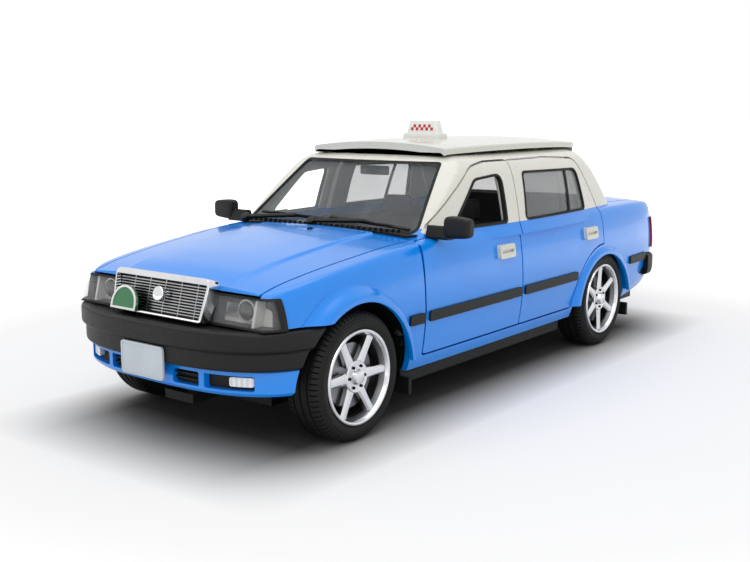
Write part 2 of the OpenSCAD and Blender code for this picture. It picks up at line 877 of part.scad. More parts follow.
module goose_neck(front_edge) {
    axis_y = hinge_y(front_edge);
    route = [for (s = neck_shares) [hinge_x + s[1] * hinge_ahead, axis_y + s[0] * hinge_ahead]];
    difference() {
        translate([0, 0, arm_low_z]) linear_extrude(arm_high_z - arm_low_z) {
            translate(route[0]) circle(r = knuckle_r);
            for (i = [0:len(route) - 2]) neck_link(route[i], route[i + 1]);
        }
        translate([hinge_x, axis_y, 0]) cylinder(h = far, r = pin_r + running_fit);
    }
}

module card_plate(from_y, to_y) {
    block([card_out_x - card_t, from_y, card_low_z], [card_out_x, to_y, card_high_z]);
}

module front_door_card() {
    color("dimgray") {
        goose_neck(door_front_y);
        card_plate(door_front_y + card_front_in - hinge_ahead, front_card_rear_y);
    }
}

module rear_door_card() {
    color("dimgray") {
        goose_neck(door_split_y);
        difference() {
            card_plate(door_split_y + card_front_in - hinge_ahead, rear_card_rear_y);
            along_x(0, far) rear_cut(shut_gap);
        }
    }
}

lug_low_z = [13.2, 14.8];
lug_high_z = [24, 25.6];

module hinge_pins() {
    color("silver") {
        for (side = [-1, 1]) on_side(side) {
            for (edge = [door_front_y, door_split_y]) translate([hinge_x, hinge_y(edge), lug_low_z[0]])
                cylinder(h = lug_high_z[1] - lug_low_z[0], r = pin_r);
            for (axis = [[bonnet_axis_y, bonnet_axis_z], [boot_axis_y, boot_axis_z]])
                rod_x(lid_arm_x, lid_arm_x + lid_arm_t + lug_gap + lug_t, pin_r, axis[0], axis[1]);
        }
    }
}

module front_bow(low_z, high_z, inset, t) {
    translate([0, 0, low_z]) linear_extrude(high_z - low_z)
        bow_bar(bumper_half - inset, bumper_end_y, -half_length + inset, bumper_power, t);
}

module front_bumper() {
    color("black") difference() {
        union() {
            front_bow(bumper_step_z, bumper_top_z, 0, bumper_t);
            front_bow(bumper_low_z, bumper_step_z, bumper_step, bumper_t);
            front_bow(flange_z - flange_t, flange_z, bumper_t / 2, flange_w);
        }
        front_arch_cut();
    }
}

module front_arch_cut() {
    for (side = [-1, 1]) on_side(side) {
        rod_x(housing_in_x, far, arch_r, front_axle_y, arch_z);
        rod_x(housing_in_x, far, tyre_r + tyre_gap, front_axle_y, axle_z);
    }
}

// Openings of the front apron
vent_shares = [[.2, .42], [.46, .82]];
fog_shares = [.68, .8];
vent_low_z = 11.2;
vent_high_z = 13.5;

module front_apron() {
    color("deepskyblue") difference() {
        translate([0, 0, apron_low_z]) linear_extrude(bumper_low_z - apron_low_z)
            bow_bar(apron_half, bumper_end_y, apron_front_y, bumper_power, apron_t);
        front_arch_cut();
        for (side = [-1, 1]) on_side(side) for (v = vent_shares)
            block([v[0] * apron_half, -far, vent_low_z],
                [v[1] * apron_half, bumper_end_y - apron_t, vent_high_z]);
    }
}

module fog_lamps() {
    color("white") for (side = [-1, 1]) on_side(side)
        block([fog_shares[0] * apron_half, apron_front_y + apron_t, vent_low_z],
            [fog_shares[1] * apron_half, apron_front_y + 2 * apron_t, vent_high_z]);
}

module rear_bumper() {
    color("black") translate([0, 0, rear_bumper_low_z]) {
        linear_extrude(rear_bumper_top_z - rear_bumper_low_z)
            bow_bar(rear_bumper_half, rear_bumper_start_y, half_length, rear_bumper_power, bumper_t);
        linear_extrude(flange_t)
            bow_bar(rear_bumper_half - bumper_t / 2, rear_bumper_start_y, half_length - bumper_t / 2,
                rear_bumper_power, flange_w);
    }
}

// Nose trim, drawn on the leaning plane of the nose
nose_top_z = sill_z + (belt_z - sill_z) * station_shares[0][2];
nose_fall = nose_top_z - sill_z - end_rise;
nose_angle = atan(nose_lean / nose_fall);
grille_half = 11.3;
grille_low_half = 10.6;
grille_top = 1.1;
grille_low = -5.9;
grille_back = 0.5;
grille_deep = 1.5;
grille_peg_r = 0.8;
grille_peg_x = 7;
grille_peg_low = -3.4;
grille_top_bar = 1.2;
grille_rim = 0.6;
slats = 11;
slat_t = 0.24;
uprights = 5;
upright_t = 0.26;
backing_t = 0.4;
badge_x = -8.2;
badge_r = 3.3;
badge_t = 0.5;
badge_low = -5.2;

module on_nose() {
    translate([0, nose_y, nose_top_z]) rotate([-nose_angle, 0, 0]) children();
}

module grille_outline(rim, top_bar) {
    polygon([[-grille_low_half + rim, grille_low + rim], [grille_low_half - rim, grille_low + rim],
        [grille_half - rim, grille_top - top_bar], [-grille_half + rim, grille_top - top_bar]]);
}

function slat_place(i) = mix(grille_low + grille_rim, grille_top - grille_top_bar, i / (slats + 1));

function upright_place(i) = mix(-grille_half, grille_half, i / (uprights + 1));

module grille() {
    color("silver") on_nose() {
        along_y(-grille_back - grille_deep, -grille_back) difference() {
            grille_outline(0, 0);
            grille_outline(grille_rim, grille_top_bar);
        }
        along_y(-grille_back - backing_t, -grille_back) grille_outline(grille_rim / 2, grille_rim / 2);
        for (side = [-1, 1]) along_y(-grille_back, 0) translate([side * grille_peg_x, grille_peg_low])
            circle(r = grille_peg_r);
        along_y(-grille_back - grille_deep / 2, -grille_back - backing_t / 2) intersection() {
            grille_outline(grille_rim / 2, grille_top_bar / 2);
            union() {
                for (i = [1:slats]) translate([-grille_half, slat_place(i) - slat_t / 2])
                    square([2 * grille_half, slat_t]);
                for (i = [1:uprights]) translate([upright_place(i) - upright_t / 2, grille_low])
                    square([upright_t, grille_top - grille_low]);
            }
        }
    }
}

module badge_plate() {
    color("green") on_nose() along_y(-grille_back - grille_deep - badge_t, -grille_back - grille_deep)
        translate([badge_x, badge_low]) intersection() {
            circle(r = badge_r);
            translate([-badge_r, 0]) square([2 * badge_r, badge_r]);
        }
}

module headlamp_lens() {
    color("white", 0.4) one_mesh() intersection() {
        difference() {
            lower_form(lens_proud);
            lower_form(lens_proud - lens_t, sill_z);
        }
        lamp_space(0);
    }
}

module headlamp_reflector() {
    color("silver") one_mesh() intersection() {
        lower_form(-reflector_back);
        lamp_space(0);
    }
}

module tail_lamp() {
    color("red") one_mesh() intersection() {
        difference() {
            lower_form(tail_proud);
            lower_form(-tail_t, sill_z);
        }
        tail_space(0);
    }
}

// Plates
plate_half = 5;
plate_t = 0.5;
front_plate_low_z = 11.6;
front_plate_high_z = 17;
rear_plate_low_z = 20.2;
rear_plate_high_z = 25.4;
front_plate_y = -half_length + bumper_step;

module front_plate() {
    color("gainsboro")
        across(plate_half, [front_plate_y - plate_t, front_plate_y], [front_plate_low_z, front_plate_high_z]);
}

module rear_plate() {
    color("gainsboro") across(plate_half, [tail_y, tail_y + plate_t], [rear_plate_low_z, rear_plate_high_z]);
}

// Door mirrors
mirror_back = 5.3;
mirror_y = door_front_y + mirror_back;
mirror_z = 32.9;
mirror_foot_in = 3.4;
mirror_foot_x = body_half - mirror_foot_in;
mirror_foot_drop = 0.3;
mirror_seat_gap = 0.06;
mirror_head_out = 0.3;
mirror_head_x = body_half + mirror_head_out;
mirror_len = 5.2;
mirror_end_x = mirror_head_x + mirror_len;
mirror_h = 3.9;
mirror_d = 2.6;
mirror_r = 0.9;
mirror_taper_share = .82;

module door_mirror() {
    color("black") {
        hull() for (row = [[mirror_head_x + mirror_r, 1], [mirror_end_x - mirror_r, mirror_taper_share]])
            for (up = [-1, 1]) for (back = [-1, 1])
                translate([row[0], mirror_y + back * (mirror_d / 2 - mirror_r),
                    mirror_z + up * (mirror_h / 2 * row[1] - mirror_r)]) sphere(r = mirror_r, $fn = 16);
        difference() {
            block([mirror_foot_x, mirror_y - mirror_d / 2, mirror_z - mirror_h / 2 - mirror_foot_drop],
                [mirror_head_x + mirror_r, mirror_y + mirror_d / 2, mirror_z]);
            one_mesh() car_form(mirror_seat_gap);
        }
    }
}

// Wipers, lying on the plane of the windscreen
wiper_t = 0.5;
wiper_lift = 0.35;
blade_t = 0.4;
screen_angle = atan((roof_z - belt_z) / (screen_head_y - screen_foot_y));
// Along and up the windscreen from its foot: arm from, arm to, blade from, blade to
wiper_right_shares = [[-.86, .03], [-.32, .1], [-.72, .13], [0, .1]];
wiper_left_shares = [[-.1, .05], [.44, .1], [.06, .13], [.9, .06]];

module bar(a, b, t) {
    len = norm(b - a);
    angle = atan2(b[1] - a[1], b[0] - a[0]);
    translate([a[0], a[1], 0]) rotate([0, 0, angle]) translate([-t / 2, -t / 2, 0]) cube([len + t, t, t]);
}

module wiper(shares) {
    up = norm([screen_head_y - screen_foot_y, roof_z - belt_z]);
    spots = [for (s = shares) [s[0] * screen_foot_half, s[1] * up]];
    color("black") translate([0, screen_foot_y - screen_bow, belt_z]) rotate([screen_angle, 0, 0])
        translate([0, 0, wiper_lift]) {
            bar(spots[0], spots[1], wiper_t);
            bar(spots[2], spots[3], blade_t);
        }
}

// Cowl between bonnet and windscreen
cowl_t = 0.4;
cowl_in = 1.2;
cowl_half = bonnet_rear_half - cowl_in;
cowl_back = 1.7;
cowl_rear_y = screen_foot_y + cowl_back;

module cowl_grille() {
    color("black") one_mesh() difference() {
        intersection() {
            lower_form(cowl_t);
            block([-cowl_half, bonnet_rear_y + lid_back_gap, 0], [cowl_half, cowl_rear_y, far]);
        }
        lower_form(0);
        cabin_form(seal_gap);
        block([-far, -far, 0], [far, far, belt_z - side_tuck]);
    }
}

// Rub strips along the sides
strip_proud = 0.45;
strip_end = 0.7;
strip_low_z = 16.8;
strip_high_z = 18.6;
wing_strip_back = 13.2;
wing_strip_front_y = front_axle_y + wing_strip_back;
wing_strip_rear_y = door_front_y - strip_end;
quarter_back = 14.2;
quarter_front_y = rear_axle_y + quarter_back;

module strip(from, to) {
    one_mesh() intersection() {
        difference() {
            lower_form(strip_proud);
            lower_form(0, sill_z);
        }
        block([0, from, strip_low_z], [far, to, strip_high_z]);
    }
}

module side_strips() {
    color("black") for (side = [-1, 1]) on_side(side) {
        strip(wing_strip_front_y, wing_strip_rear_y);
        strip(quarter_front_y, rear_bumper_start_y - shut_gap);
    }
}

module front_door_strip() {
    color("black") strip(door_front_y + strip_end, door_split_y - strip_end);
}

module rear_door_strip() {
    reach = sqrt(pow(rear_cut_r, 2) - pow(strip_low_z - arch_z, 2));
    color("black") strip(door_split_y + strip_end, rear_axle_y - reach - strip_end);
}

// Chassis
chassis_gap = 4;
chassis_mid_half = tyre_back_x - chassis_gap;
chassis_sill_in = 3.1;
chassis_sill_half = body_half - chassis_sill_in;
chassis_end_in = 7.4;
chassis_end_half = body_half - chassis_end_in;
chassis_back = 5;
chassis_front_y = chassis_back - half_length;
chassis_ahead = 5;
chassis_rear_y = half_length - chassis_ahead;
sill_back = 14.4;
sill_front_y = front_axle_y + sill_back;
sill_ahead = 15.6;
sill_rear_y = rear_axle_y - sill_ahead;
rim_t = 1;
rim_h = 2;
saddle_t = 2.2;
saddle_in = 0.6;
saddle_x = chassis_mid_half - saddle_t - saddle_in;
saddle_d = 5;
saddle_h = 5.6;
flap_t = 0.8;
flap_drop = 1.4;
flap_deep = 3.5;
flap_in_x = chassis_end_half - flap_deep;
flap_in = 0.9;
flap_out_x = body_half - flap_in;
front_flap_y = sill_front_y - flap_t / 2;
rear_flap_back = 14;
rear_flap_y = rear_axle_y + rear_flap_back;
engine_half = 10;
engine_gap = 2;
engine_front_y = front_post_y + post_r + engine_gap;
engine_back = 7.6;
engine_rear_y = front_axle_y + engine_back;
engine_top_z = 21;
rocker_half = 4;
rocker_h = 1.8;
bumper_lug_x = 6;
bumper_lug_w = 4;
bumper_lug_t = 2;
motor_gap = 3.6;
motor_half = saddle_x - motor_gap;
motor_ahead = 15.6;
motor_front_y = rear_axle_y - motor_ahead;
motor_behind = 3.6;
motor_rear_y = rear_axle_y + motor_behind;
motor_top_z = 21;
motor_fit = 0.1;
motor_wall = 1;
motor_flange = 2;
motor_flange_t = 1;

module saddle(y) {
    for (side = [-1, 1]) on_side(side) difference() {
        block([saddle_x, y - saddle_d / 2, chassis_top_z],
            [saddle_x + saddle_t, y + saddle_d / 2, chassis_top_z + saddle_h]);
        rod_x(0, far, axle_r + running_fit, y, axle_z);
    }
}

module chassis() {
    floor = [chassis_z, chassis_top_z];
    color("black") {
        difference() {
            union() {
                across(chassis_mid_half, [chassis_front_y, chassis_rear_y], floor);
                across(chassis_sill_half, [sill_front_y, sill_rear_y], floor);
                across(chassis_end_half, [chassis_front_y, front_axle_y - housing_r], floor);
                across(chassis_end_half, [rear_axle_y + housing_r, chassis_rear_y], floor);
                for (side = [-1, 1]) on_side(side) {
                    block([chassis_sill_half - rim_t, sill_front_y, chassis_z],
                        [chassis_sill_half, sill_rear_y, chassis_top_z + rim_h]);
                    for (y = [front_flap_y, rear_flap_y]) block([flap_in_x, y, chassis_z - flap_drop],
                        [flap_out_x, y + flap_t, chassis_top_z]);
                }
            }
            across(motor_half + motor_fit, [motor_front_y - motor_fit, motor_rear_y + motor_fit], [0, far]);
            for (y = [front_post_y, rear_post_y]) translate([0, y, 0]) {
                cylinder(h = far, r = screw_r + running_fit);
                cylinder(h = chassis_z + screw_head_h, r = screw_head_r + running_fit);
            }
        }
        for (side = [-1, 1]) on_side(side) {
            block([bumper_lug_x, chassis_front_y, chassis_z],
                [bumper_lug_x + bumper_lug_w, chassis_front_y + bumper_lug_t, flange_z - flange_t]);
            block([bumper_lug_x, chassis_rear_y - bumper_lug_t, chassis_z],
                [bumper_lug_x + bumper_lug_w, chassis_rear_y, rear_bumper_low_z]);
        }
        saddle(front_axle_y);
        saddle(rear_axle_y);
        engine();
    }
}

module engine() {
    base_z = chassis_top_z + saddle_h;
    across(saddle_x + saddle_t, [front_axle_y - saddle_d / 2, front_axle_y + saddle_d / 2],
        [base_z, base_z + rocker_h]);
    across(engine_half, [engine_front_y, engine_rear_y], [base_z + rocker_h, engine_top_z]);
    across(rocker_half, [engine_front_y + rocker_h, engine_rear_y - rocker_h],
        [engine_top_z, engine_top_z + rocker_h]);
}

module chassis_screws() {
    color("silver") for (y = [front_post_y, rear_post_y]) translate([0, y, chassis_z]) {
        cylinder(h = screw_head_h, r = screw_head_r);
        cylinder(h = screw_len, r = screw_r);
    }
}

// Cabin tub with its hinge posts
tub_in = 4.3;
tub_half = body_half - tub_in;
tub_t = 1.2;
tub_ahead = 3.1;
tub_front_y = door_front_y - tub_ahead;
post_gap = 5.2;
post_out_x = hinge_x - post_gap;
post_d = 3.4;
lug_out = 1.1;
lug_reach = 0.85;
bulkhead_half = 14.6;
bulkhead_top_z = 24;
seat_platform_z = 21.4;
platform_gap = 0.3;
platform_half = housing_in_x - platform_gap;
platform_back = 1;
platform_rear_y = rear_foot_y + platform_back;
shelf_z = 28.6;
shelf_ahead = 6.4;
shelf_front_y = rear_foot_y - shelf_ahead;
boot_floor_z = 13.4;
boot_floor_in = 9.4;
boot_floor_half = body_half - boot_floor_in;
boot_floor_ahead = 10;
boot_floor_rear_y = tail_y - boot_floor_ahead;
tub_top_z = chassis_top_z + tub_t;
heel_y = motor_front_y - motor_flange - motor_fit;

module hinge_post(edge) {
    y = hinge_y(edge);
    block([post_in_x, y - post_d / 2, chassis_top_z], [post_out_x, y + post_d / 2, lug_high_z[1]]);
    for (z = [lug_low_z, lug_high_z]) difference() {
        block([post_in_x, y - lug_out, z[0]], [hinge_x + lug_reach, y + lug_out, z[1]]);
        translate([hinge_x, y, 0]) cylinder(h = far, r = pin_r);
    }
}

module lid_lug(axis_y, axis_z, foot_z) {
    from = lid_arm_x + lid_arm_t + lug_gap;
    difference() {
        union() {
            rod_x(from, from + lug_t, knuckle_r, axis_y, axis_z);
            block([from, axis_y - knuckle_r, foot_z], [from + lug_t, axis_y + knuckle_r, axis_z]);
        }
        rod_x(0, far, pin_r, axis_y, axis_z);
    }
}

module cabin_tub() {
    color("black") {
        across(tub_half, [tub_front_y, heel_y], [chassis_top_z, tub_top_z]);
        across(bulkhead_half, [tub_front_y, tub_front_y + tub_t], [chassis_top_z, bulkhead_top_z]);
        across(platform_half, [heel_y - tub_t, heel_y], [chassis_top_z, seat_platform_z + tub_t]);
        across(platform_half, [heel_y - tub_t, platform_rear_y], [seat_platform_z, seat_platform_z + tub_t]);
        across(platform_half, [platform_rear_y - tub_t, platform_rear_y], [boot_floor_z, shelf_z + tub_t]);
        across(platform_half, [shelf_front_y, platform_rear_y], [shelf_z, shelf_z + tub_t]);
        across(boot_floor_half, [platform_rear_y - tub_t, boot_floor_rear_y],
            [boot_floor_z, boot_floor_z + tub_t]);
        for (side = [-1, 1]) on_side(side) {
            hinge_post(door_front_y);
            hinge_post(door_split_y);
            lid_lug(bonnet_axis_y, bonnet_axis_z, lug_high_z[0]);
            lid_lug(boot_axis_y, boot_axis_z, boot_floor_z);
        }
    }
}

// Seats, drawn as side profiles
seat_side_gap = 0.6;
seat_mid_gap = 2.4;
seat_half = (post_in_x - seat_side_gap - seat_mid_gap) / 2;
seat_x = seat_mid_gap + seat_half;
seat_len = 13;
legroom = 15.7;
front_seat_y = heel_y - legroom - seat_len;
cushion_h = 6;
seat_back_h = 21;
seat_back_t = 3.6;
seat_rake = 3.4;
seat_taper_share = .6;
seat_lip = 0.6;
headrest_half = 3.4;
headrest_h = 4.2;
headrest_t = 2;
headrest_gap = 0.6;
stalk_r = 0.35;
rear_seat_in = 0.6;
rear_seat_half = platform_half - rear_seat_in;
rear_seat_ahead = 14.4;
rear_seat_y = rear_axle_y - rear_seat_ahead;
rear_cushion_h = 3.6;
rear_back_h = 10.6;
rear_seat_len = 15;

module seat_profile(len, rise, back_h, t, rake) {
    polygon([[0, 0], [len, 0], [len + rake, back_h], [len + rake - t * seat_taper_share, back_h],
        [len - t, rise], [0, rise + seat_lip]]);
}

module headrest(y, z) {
    across(headrest_half, [y - headrest_t, y], [z + headrest_gap, z + headrest_gap + headrest_h]);
    for (side = [-1, 1]) translate([side * headrest_half / 2, y - headrest_t / 2, z - headrest_gap])
        cylinder(h = 3 * headrest_gap, r = stalk_r);
}

module front_seats() {
    color("dimgray") for (side = [-1, 1]) translate([side * seat_x, 0, 0]) {
        translate([0, front_seat_y, tub_top_z]) along_x(-seat_half, seat_half)
            seat_profile(seat_len, cushion_h, seat_back_h, seat_back_t, seat_rake);
        headrest(front_seat_y + seat_len + seat_rake, tub_top_z + seat_back_h);
    }
}

module rear_seat() {
    color("dimgray") {
        translate([0, rear_seat_y, seat_platform_z + tub_t]) along_x(-rear_seat_half, rear_seat_half)
            seat_profile(rear_seat_len, rear_cushion_h, rear_back_h, seat_back_t, seat_rake / 2);
    }
}

// Dashboard and steering wheel, on the right of the car
dash_in = 8.5;
dash_half = body_half - dash_in;
dash_back = 1.3;
dash_front_y = screen_foot_y + dash_back;
dash_deep = 6.6;
dash_rear_y = dash_front_y + dash_deep;
dash_low_z = 21;
dash_high_z = 30;
dash_slope = 2.4;
dash_leg_in = 5.4;
dash_leg = dash_half - dash_leg_in;
wheel_x = -seat_x;
wheel_back = 5;
wheel_y = dash_rear_y + wheel_back;
wheel_z = 28;
steer_r = 4.4;
steer_rim_r = 0.5;
steer_angle = 62;
steer_spokes = 3;
column_r = 0.7;
column_len = 6;

module dashboard() {
    color("black") {
        along_x(-dash_half, dash_half) polygon([[dash_front_y, dash_low_z],
            [dash_rear_y - dash_slope, dash_low_z], [dash_rear_y, dash_high_z - dash_slope],
            [dash_rear_y - dash_slope, dash_high_z], [dash_front_y, dash_high_z]]);
        across(dash_leg, [tub_front_y + tub_t, dash_front_y + tub_t], [dash_low_z, dash_low_z + tub_t]);
    }
}

module steering_wheel() {
    color("black") translate([wheel_x, wheel_y, wheel_z]) rotate([-steer_angle, 0, 0]) {
        rotate_extrude() translate([steer_r, 0]) circle(r = steer_rim_r, $fn = 16);
        for (i = [0:steer_spokes - 1]) rotate([0, 0, 90 + i * 360 / steer_spokes])
            translate([0, -steer_rim_r, -steer_rim_r / 2]) cube([steer_r, 2 * steer_rim_r, steer_rim_r]);
        translate([0, 0, -column_len]) cylinder(h = column_len + steer_rim_r, r = column_r);
    }
}

// Wheels
tread_round = 1.6;
rim_barrel_t = 0.8;
face_t = 1;
face_back = 0.5;
hub_r = 2.7;
spoke_w = 2.2;
spoke_foot_w = 1.5;
lug_hole_r = 0.3;
lug_circle_r = 1.9;
cap_r = 1.1;
cap_h = 0.4;
axle_in = 1.6;
disc_r = 5.4;
disc_t = 0.6;
disc_back = 2.4;

module tyre() {
    rotate_extrude($fn = 96) difference() {
        translate([rim_r, -tyre_w]) square([tyre_r - rim_r, tyre_w]);
        for (end = [0, 1]) translate([tyre_r - tread_round, end * (tread_round - tyre_w) - tread_round])
            difference() {
                translate([0, -end * over]) square([tread_round + over, tread_round + over]);
                translate([0, end * tread_round]) circle(r = tread_round);
            }
    }
}

module rim() {
    difference() {
        union() {
            difference() {
                translate([0, 0, -tyre_w]) cylinder(h = tyre_w, r = rim_r);
                translate([0, 0, -tyre_w - over]) cylinder(h = tyre_w + 2 * over, r = rim_r - rim_barrel_t);
            }
            translate([0, 0, -face_back - face_t]) linear_extrude(face_t) {
                circle(r = hub_r);
                for (i = [0:spokes - 1]) rotate(i * 360 / spokes)
                    polygon([[0, -spoke_w / 2], [rim_r - rim_barrel_t / 2, -spoke_foot_w / 2],
                        [rim_r - rim_barrel_t / 2, spoke_foot_w / 2], [0, spoke_w / 2]]);
            }
            translate([0, 0, -face_back - face_t]) cylinder(h = face_t + cap_h, r = cap_r);
            translate([0, 0, -disc_back - disc_t]) cylinder(h = disc_t, r = disc_r);
            translate([0, 0, -tyre_w + axle_in])
                cylinder(h = tyre_w - axle_in - face_back - face_t / 2, r = hub_r);
        }
        for (i = [0:spokes - 1]) rotate((i + .5) * 360 / spokes)
            translate([lug_circle_r, 0, -face_back - face_t / 2])
                cylinder(h = face_t + over, r = lug_hole_r, $fn = 16);
        translate([0, 0, -tyre_w - over]) cylinder(h = tyre_w + over - axle_in, r = axle_r);
    }
}

module wheel_pair(y) {
    for (side = [-1, 1]) on_side(side) translate([tyre_face_x, y, axle_z]) rotate([0, 90, 0]) children();
}

module axle(y) {
    color("silver") rod_x(-tyre_face_x + axle_in, tyre_face_x - axle_in, axle_r, y, axle_z);
}

// Pull back motor
gear_t = 2;
pinion_teeth = 10;
drum_teeth = 30;
gear_module = 0.4;
tooth_out = 0.34;
tooth_in = 0.5;
tooth_foot_w = 0.52;
tooth_head_w = 0.2;
tooth_mid_w = 0.42;
drum_lift = 2.8;
gear_gap = gear_module * (pinion_teeth + drum_teeth) / 2;
drum_y = rear_axle_y - sqrt(pow(gear_gap, 2) - pow(drum_lift, 2));
drum_z = axle_z + drum_lift;
drum_r = 4.4;
drum_gap = 0.4;
drum_side = motor_half - motor_wall - gear_t / 2 - drum_gap;
shaft_r = 0.8;
shaft_half = motor_half - motor_wall / 2;
mesh_angle = atan2(drum_z - axle_z, drum_y - rear_axle_y);

module gear(teeth, bore) {
    pitch_r = gear_module * teeth / 2;
    root_r = pitch_r - tooth_in - tooth_head_w;
    linear_extrude(gear_t) difference() {
        union() {
            circle(r = pitch_r - tooth_in);
            for (i = [0:teeth - 1]) rotate(i * 360 / teeth)
                polygon([[root_r, -tooth_foot_w / 2], [pitch_r, -tooth_mid_w / 2],
                    [pitch_r + tooth_out, -tooth_head_w / 2], [pitch_r + tooth_out, tooth_head_w / 2],
                    [pitch_r, tooth_mid_w / 2], [root_r, tooth_foot_w / 2]]);
        }
        circle(r = bore);
    }
}

// Turns a gear drawn flat so that its axis lies along X and its first tooth points at an angle from Y
module gear_place(x, y, z, angle) {
    translate([x, y, z]) rotate([angle, 0, 0]) rotate([90, 0, 90]) children();
}

module axle_pinion() {
    color("gold") gear_place(-gear_t / 2, rear_axle_y, axle_z, mesh_angle) gear(pinion_teeth, axle_r);
}

module drum_gear() {
    color("khaki") {
        gear_place(-gear_t / 2, drum_y, drum_z, mesh_angle + 180 + 180 / drum_teeth)
            gear(drum_teeth, shaft_r / 2);
        rod_x(gear_t / 2, gear_t / 2 + drum_side, drum_r, drum_y, drum_z);
        rod_x(-shaft_half, shaft_half, shaft_r, drum_y, drum_z);
    }
}

module motor_case() {
    color("ivory") difference() {
        union() {
            block([-motor_half, motor_front_y, chassis_z], [motor_half, motor_rear_y, motor_top_z]);
            block([-motor_half - motor_flange, motor_front_y - motor_flange, chassis_top_z],
                [motor_half + motor_flange, motor_rear_y + motor_flange, chassis_top_z + motor_flange_t]);
        }
        block([-motor_half + motor_wall, motor_front_y + motor_wall, chassis_z + motor_wall],
            [motor_half - motor_wall, motor_rear_y - motor_wall, motor_top_z - motor_wall]);
        rod_x(-far, far, axle_r + running_fit, rear_axle_y, axle_z);
        rod_x(-shaft_half - running_fit, shaft_half + running_fit, shaft_r + running_fit, drum_y, drum_z);
    }
}

body_shell();
roof_panel();
roof_sign();
windscreen();
rear_window();
bonnet();
boot_lid();
on_side(1) front_door();  // front_door_left
on_side(-1) front_door();  // front_door_right
on_side(1) rear_door();  // rear_door_left
on_side(-1) rear_door();  // rear_door_right
on_side(1) front_door_card();  // front_door_card_left
on_side(-1) front_door_card();  // front_door_card_right
on_side(1) rear_door_card();  // rear_door_card_left
on_side(-1) rear_door_card();  // rear_door_card_right
on_side(1) rear_door_glass();  // rear_door_glass_left
on_side(-1) rear_door_glass();  // rear_door_glass_right
hinge_pins();
bonnet_hinge();
boot_hinge();
front_bumper();
front_apron();
rear_bumper();
fog_lamps();
grille();
on_side(1) headlamp_lens();  // headlamp_lens_left
on_side(-1) headlamp_lens();  // headlamp_lens_right
on_side(1) headlamp_reflector();  // headlamp_reflector_left
on_side(-1) headlamp_reflector();  // headlamp_reflector_right
on_side(1) tail_lamp();  // tail_lamp_left
on_side(-1) tail_lamp();  // tail_lamp_right
front_plate();
rear_plate();
badge_plate();
on_side(1) door_mirror();  // mirror_left
on_side(-1) door_mirror();  // mirror_right
wiper(wiper_left_shares);  // wiper_left
wiper(wiper_right_shares);  // wiper_right
cowl_grille();
side_strips();
on_side(1) front_door_strip();  // front_door_strip_left
on_side(-1) front_door_strip();  // front_door_strip_right
on_side(1) rear_door_strip();  // rear_door_strip_left
on_side(-1) rear_door_strip();  // rear_door_strip_right
chassis();
cabin_tub();
front_seats();
rear_seat();
dashboard();
steering_wheel();
axle(front_axle_y);  // front_axle
axle(rear_axle_y);  // rear_axle
color("silver") wheel_pair(front_axle_y) rim();  // front_wheels
color("black") wheel_pair(front_axle_y) tyre();  // front_tyres
color("silver") wheel_pair(rear_axle_y) rim();  // rear_wheels
color("black") wheel_pair(rear_axle_y) tyre();  // rear_tyres
motor_case();
drum_gear();
axle_pinion();
chassis_screws();
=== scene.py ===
import math

import bmesh
import bpy
from mathutils import Matrix, Vector


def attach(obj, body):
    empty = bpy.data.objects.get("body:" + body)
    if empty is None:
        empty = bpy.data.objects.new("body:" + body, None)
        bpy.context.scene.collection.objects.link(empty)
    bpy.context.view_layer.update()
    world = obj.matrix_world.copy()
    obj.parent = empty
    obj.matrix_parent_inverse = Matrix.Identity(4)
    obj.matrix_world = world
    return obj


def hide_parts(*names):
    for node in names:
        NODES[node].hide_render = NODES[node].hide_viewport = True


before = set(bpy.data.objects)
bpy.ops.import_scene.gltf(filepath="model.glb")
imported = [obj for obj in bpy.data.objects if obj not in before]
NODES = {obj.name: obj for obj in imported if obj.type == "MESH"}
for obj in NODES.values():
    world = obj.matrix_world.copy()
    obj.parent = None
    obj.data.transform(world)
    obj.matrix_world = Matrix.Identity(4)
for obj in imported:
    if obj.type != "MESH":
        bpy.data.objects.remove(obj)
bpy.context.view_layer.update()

bl_info = {
    "name": "Toy Taxi",
    "version": (1, 0, 0),
    "blender": (4, 5, 0),
    "location": "3D View > Sidebar > Toy Taxi",
    "description": "Panels, glazing, trim, wheels and cabin of a die-cast toy taxi, on its CAD frame",
    "category": "Object",
}

# Sizes in millimetres, most of them as the part's source has them; the front wheel arches are larger
MM = 0.001
FAR = 146
HALF_LENGTH, BODY_HALF, SILL_Z, BELT_Z, ROOF_Z = 73, 25.9, 8.6, 31.1, 44.3
WALL, SHUT_GAP, DOOR_T = 1.1, 0.35, 1
NOSE_Y, TAIL_Y, SIDE_TUCK, NOSE_LEAN, DECK_CROWN, END_RISE = -66, 71, 1.6, 3.7, 1.2, 3.4
FRONT_AXLE_Y, REAR_AXLE_Y, AXLE_Z = -49.6, 37.4, 10.7
SCREEN_FOOT_Y, SCREEN_HEAD_Y, REAR_FOOT_Y, REAR_HEAD_Y = -28.3, -12.4, 47.4, 35
CABIN_FOOT_HALF, CABIN_HEAD_HALF, CABIN_CORNER, SCREEN_BOW = 25.1, 18.3, 2.6, 1.6
FOOT_NARROW, HEAD_NARROW = 2.6, 1

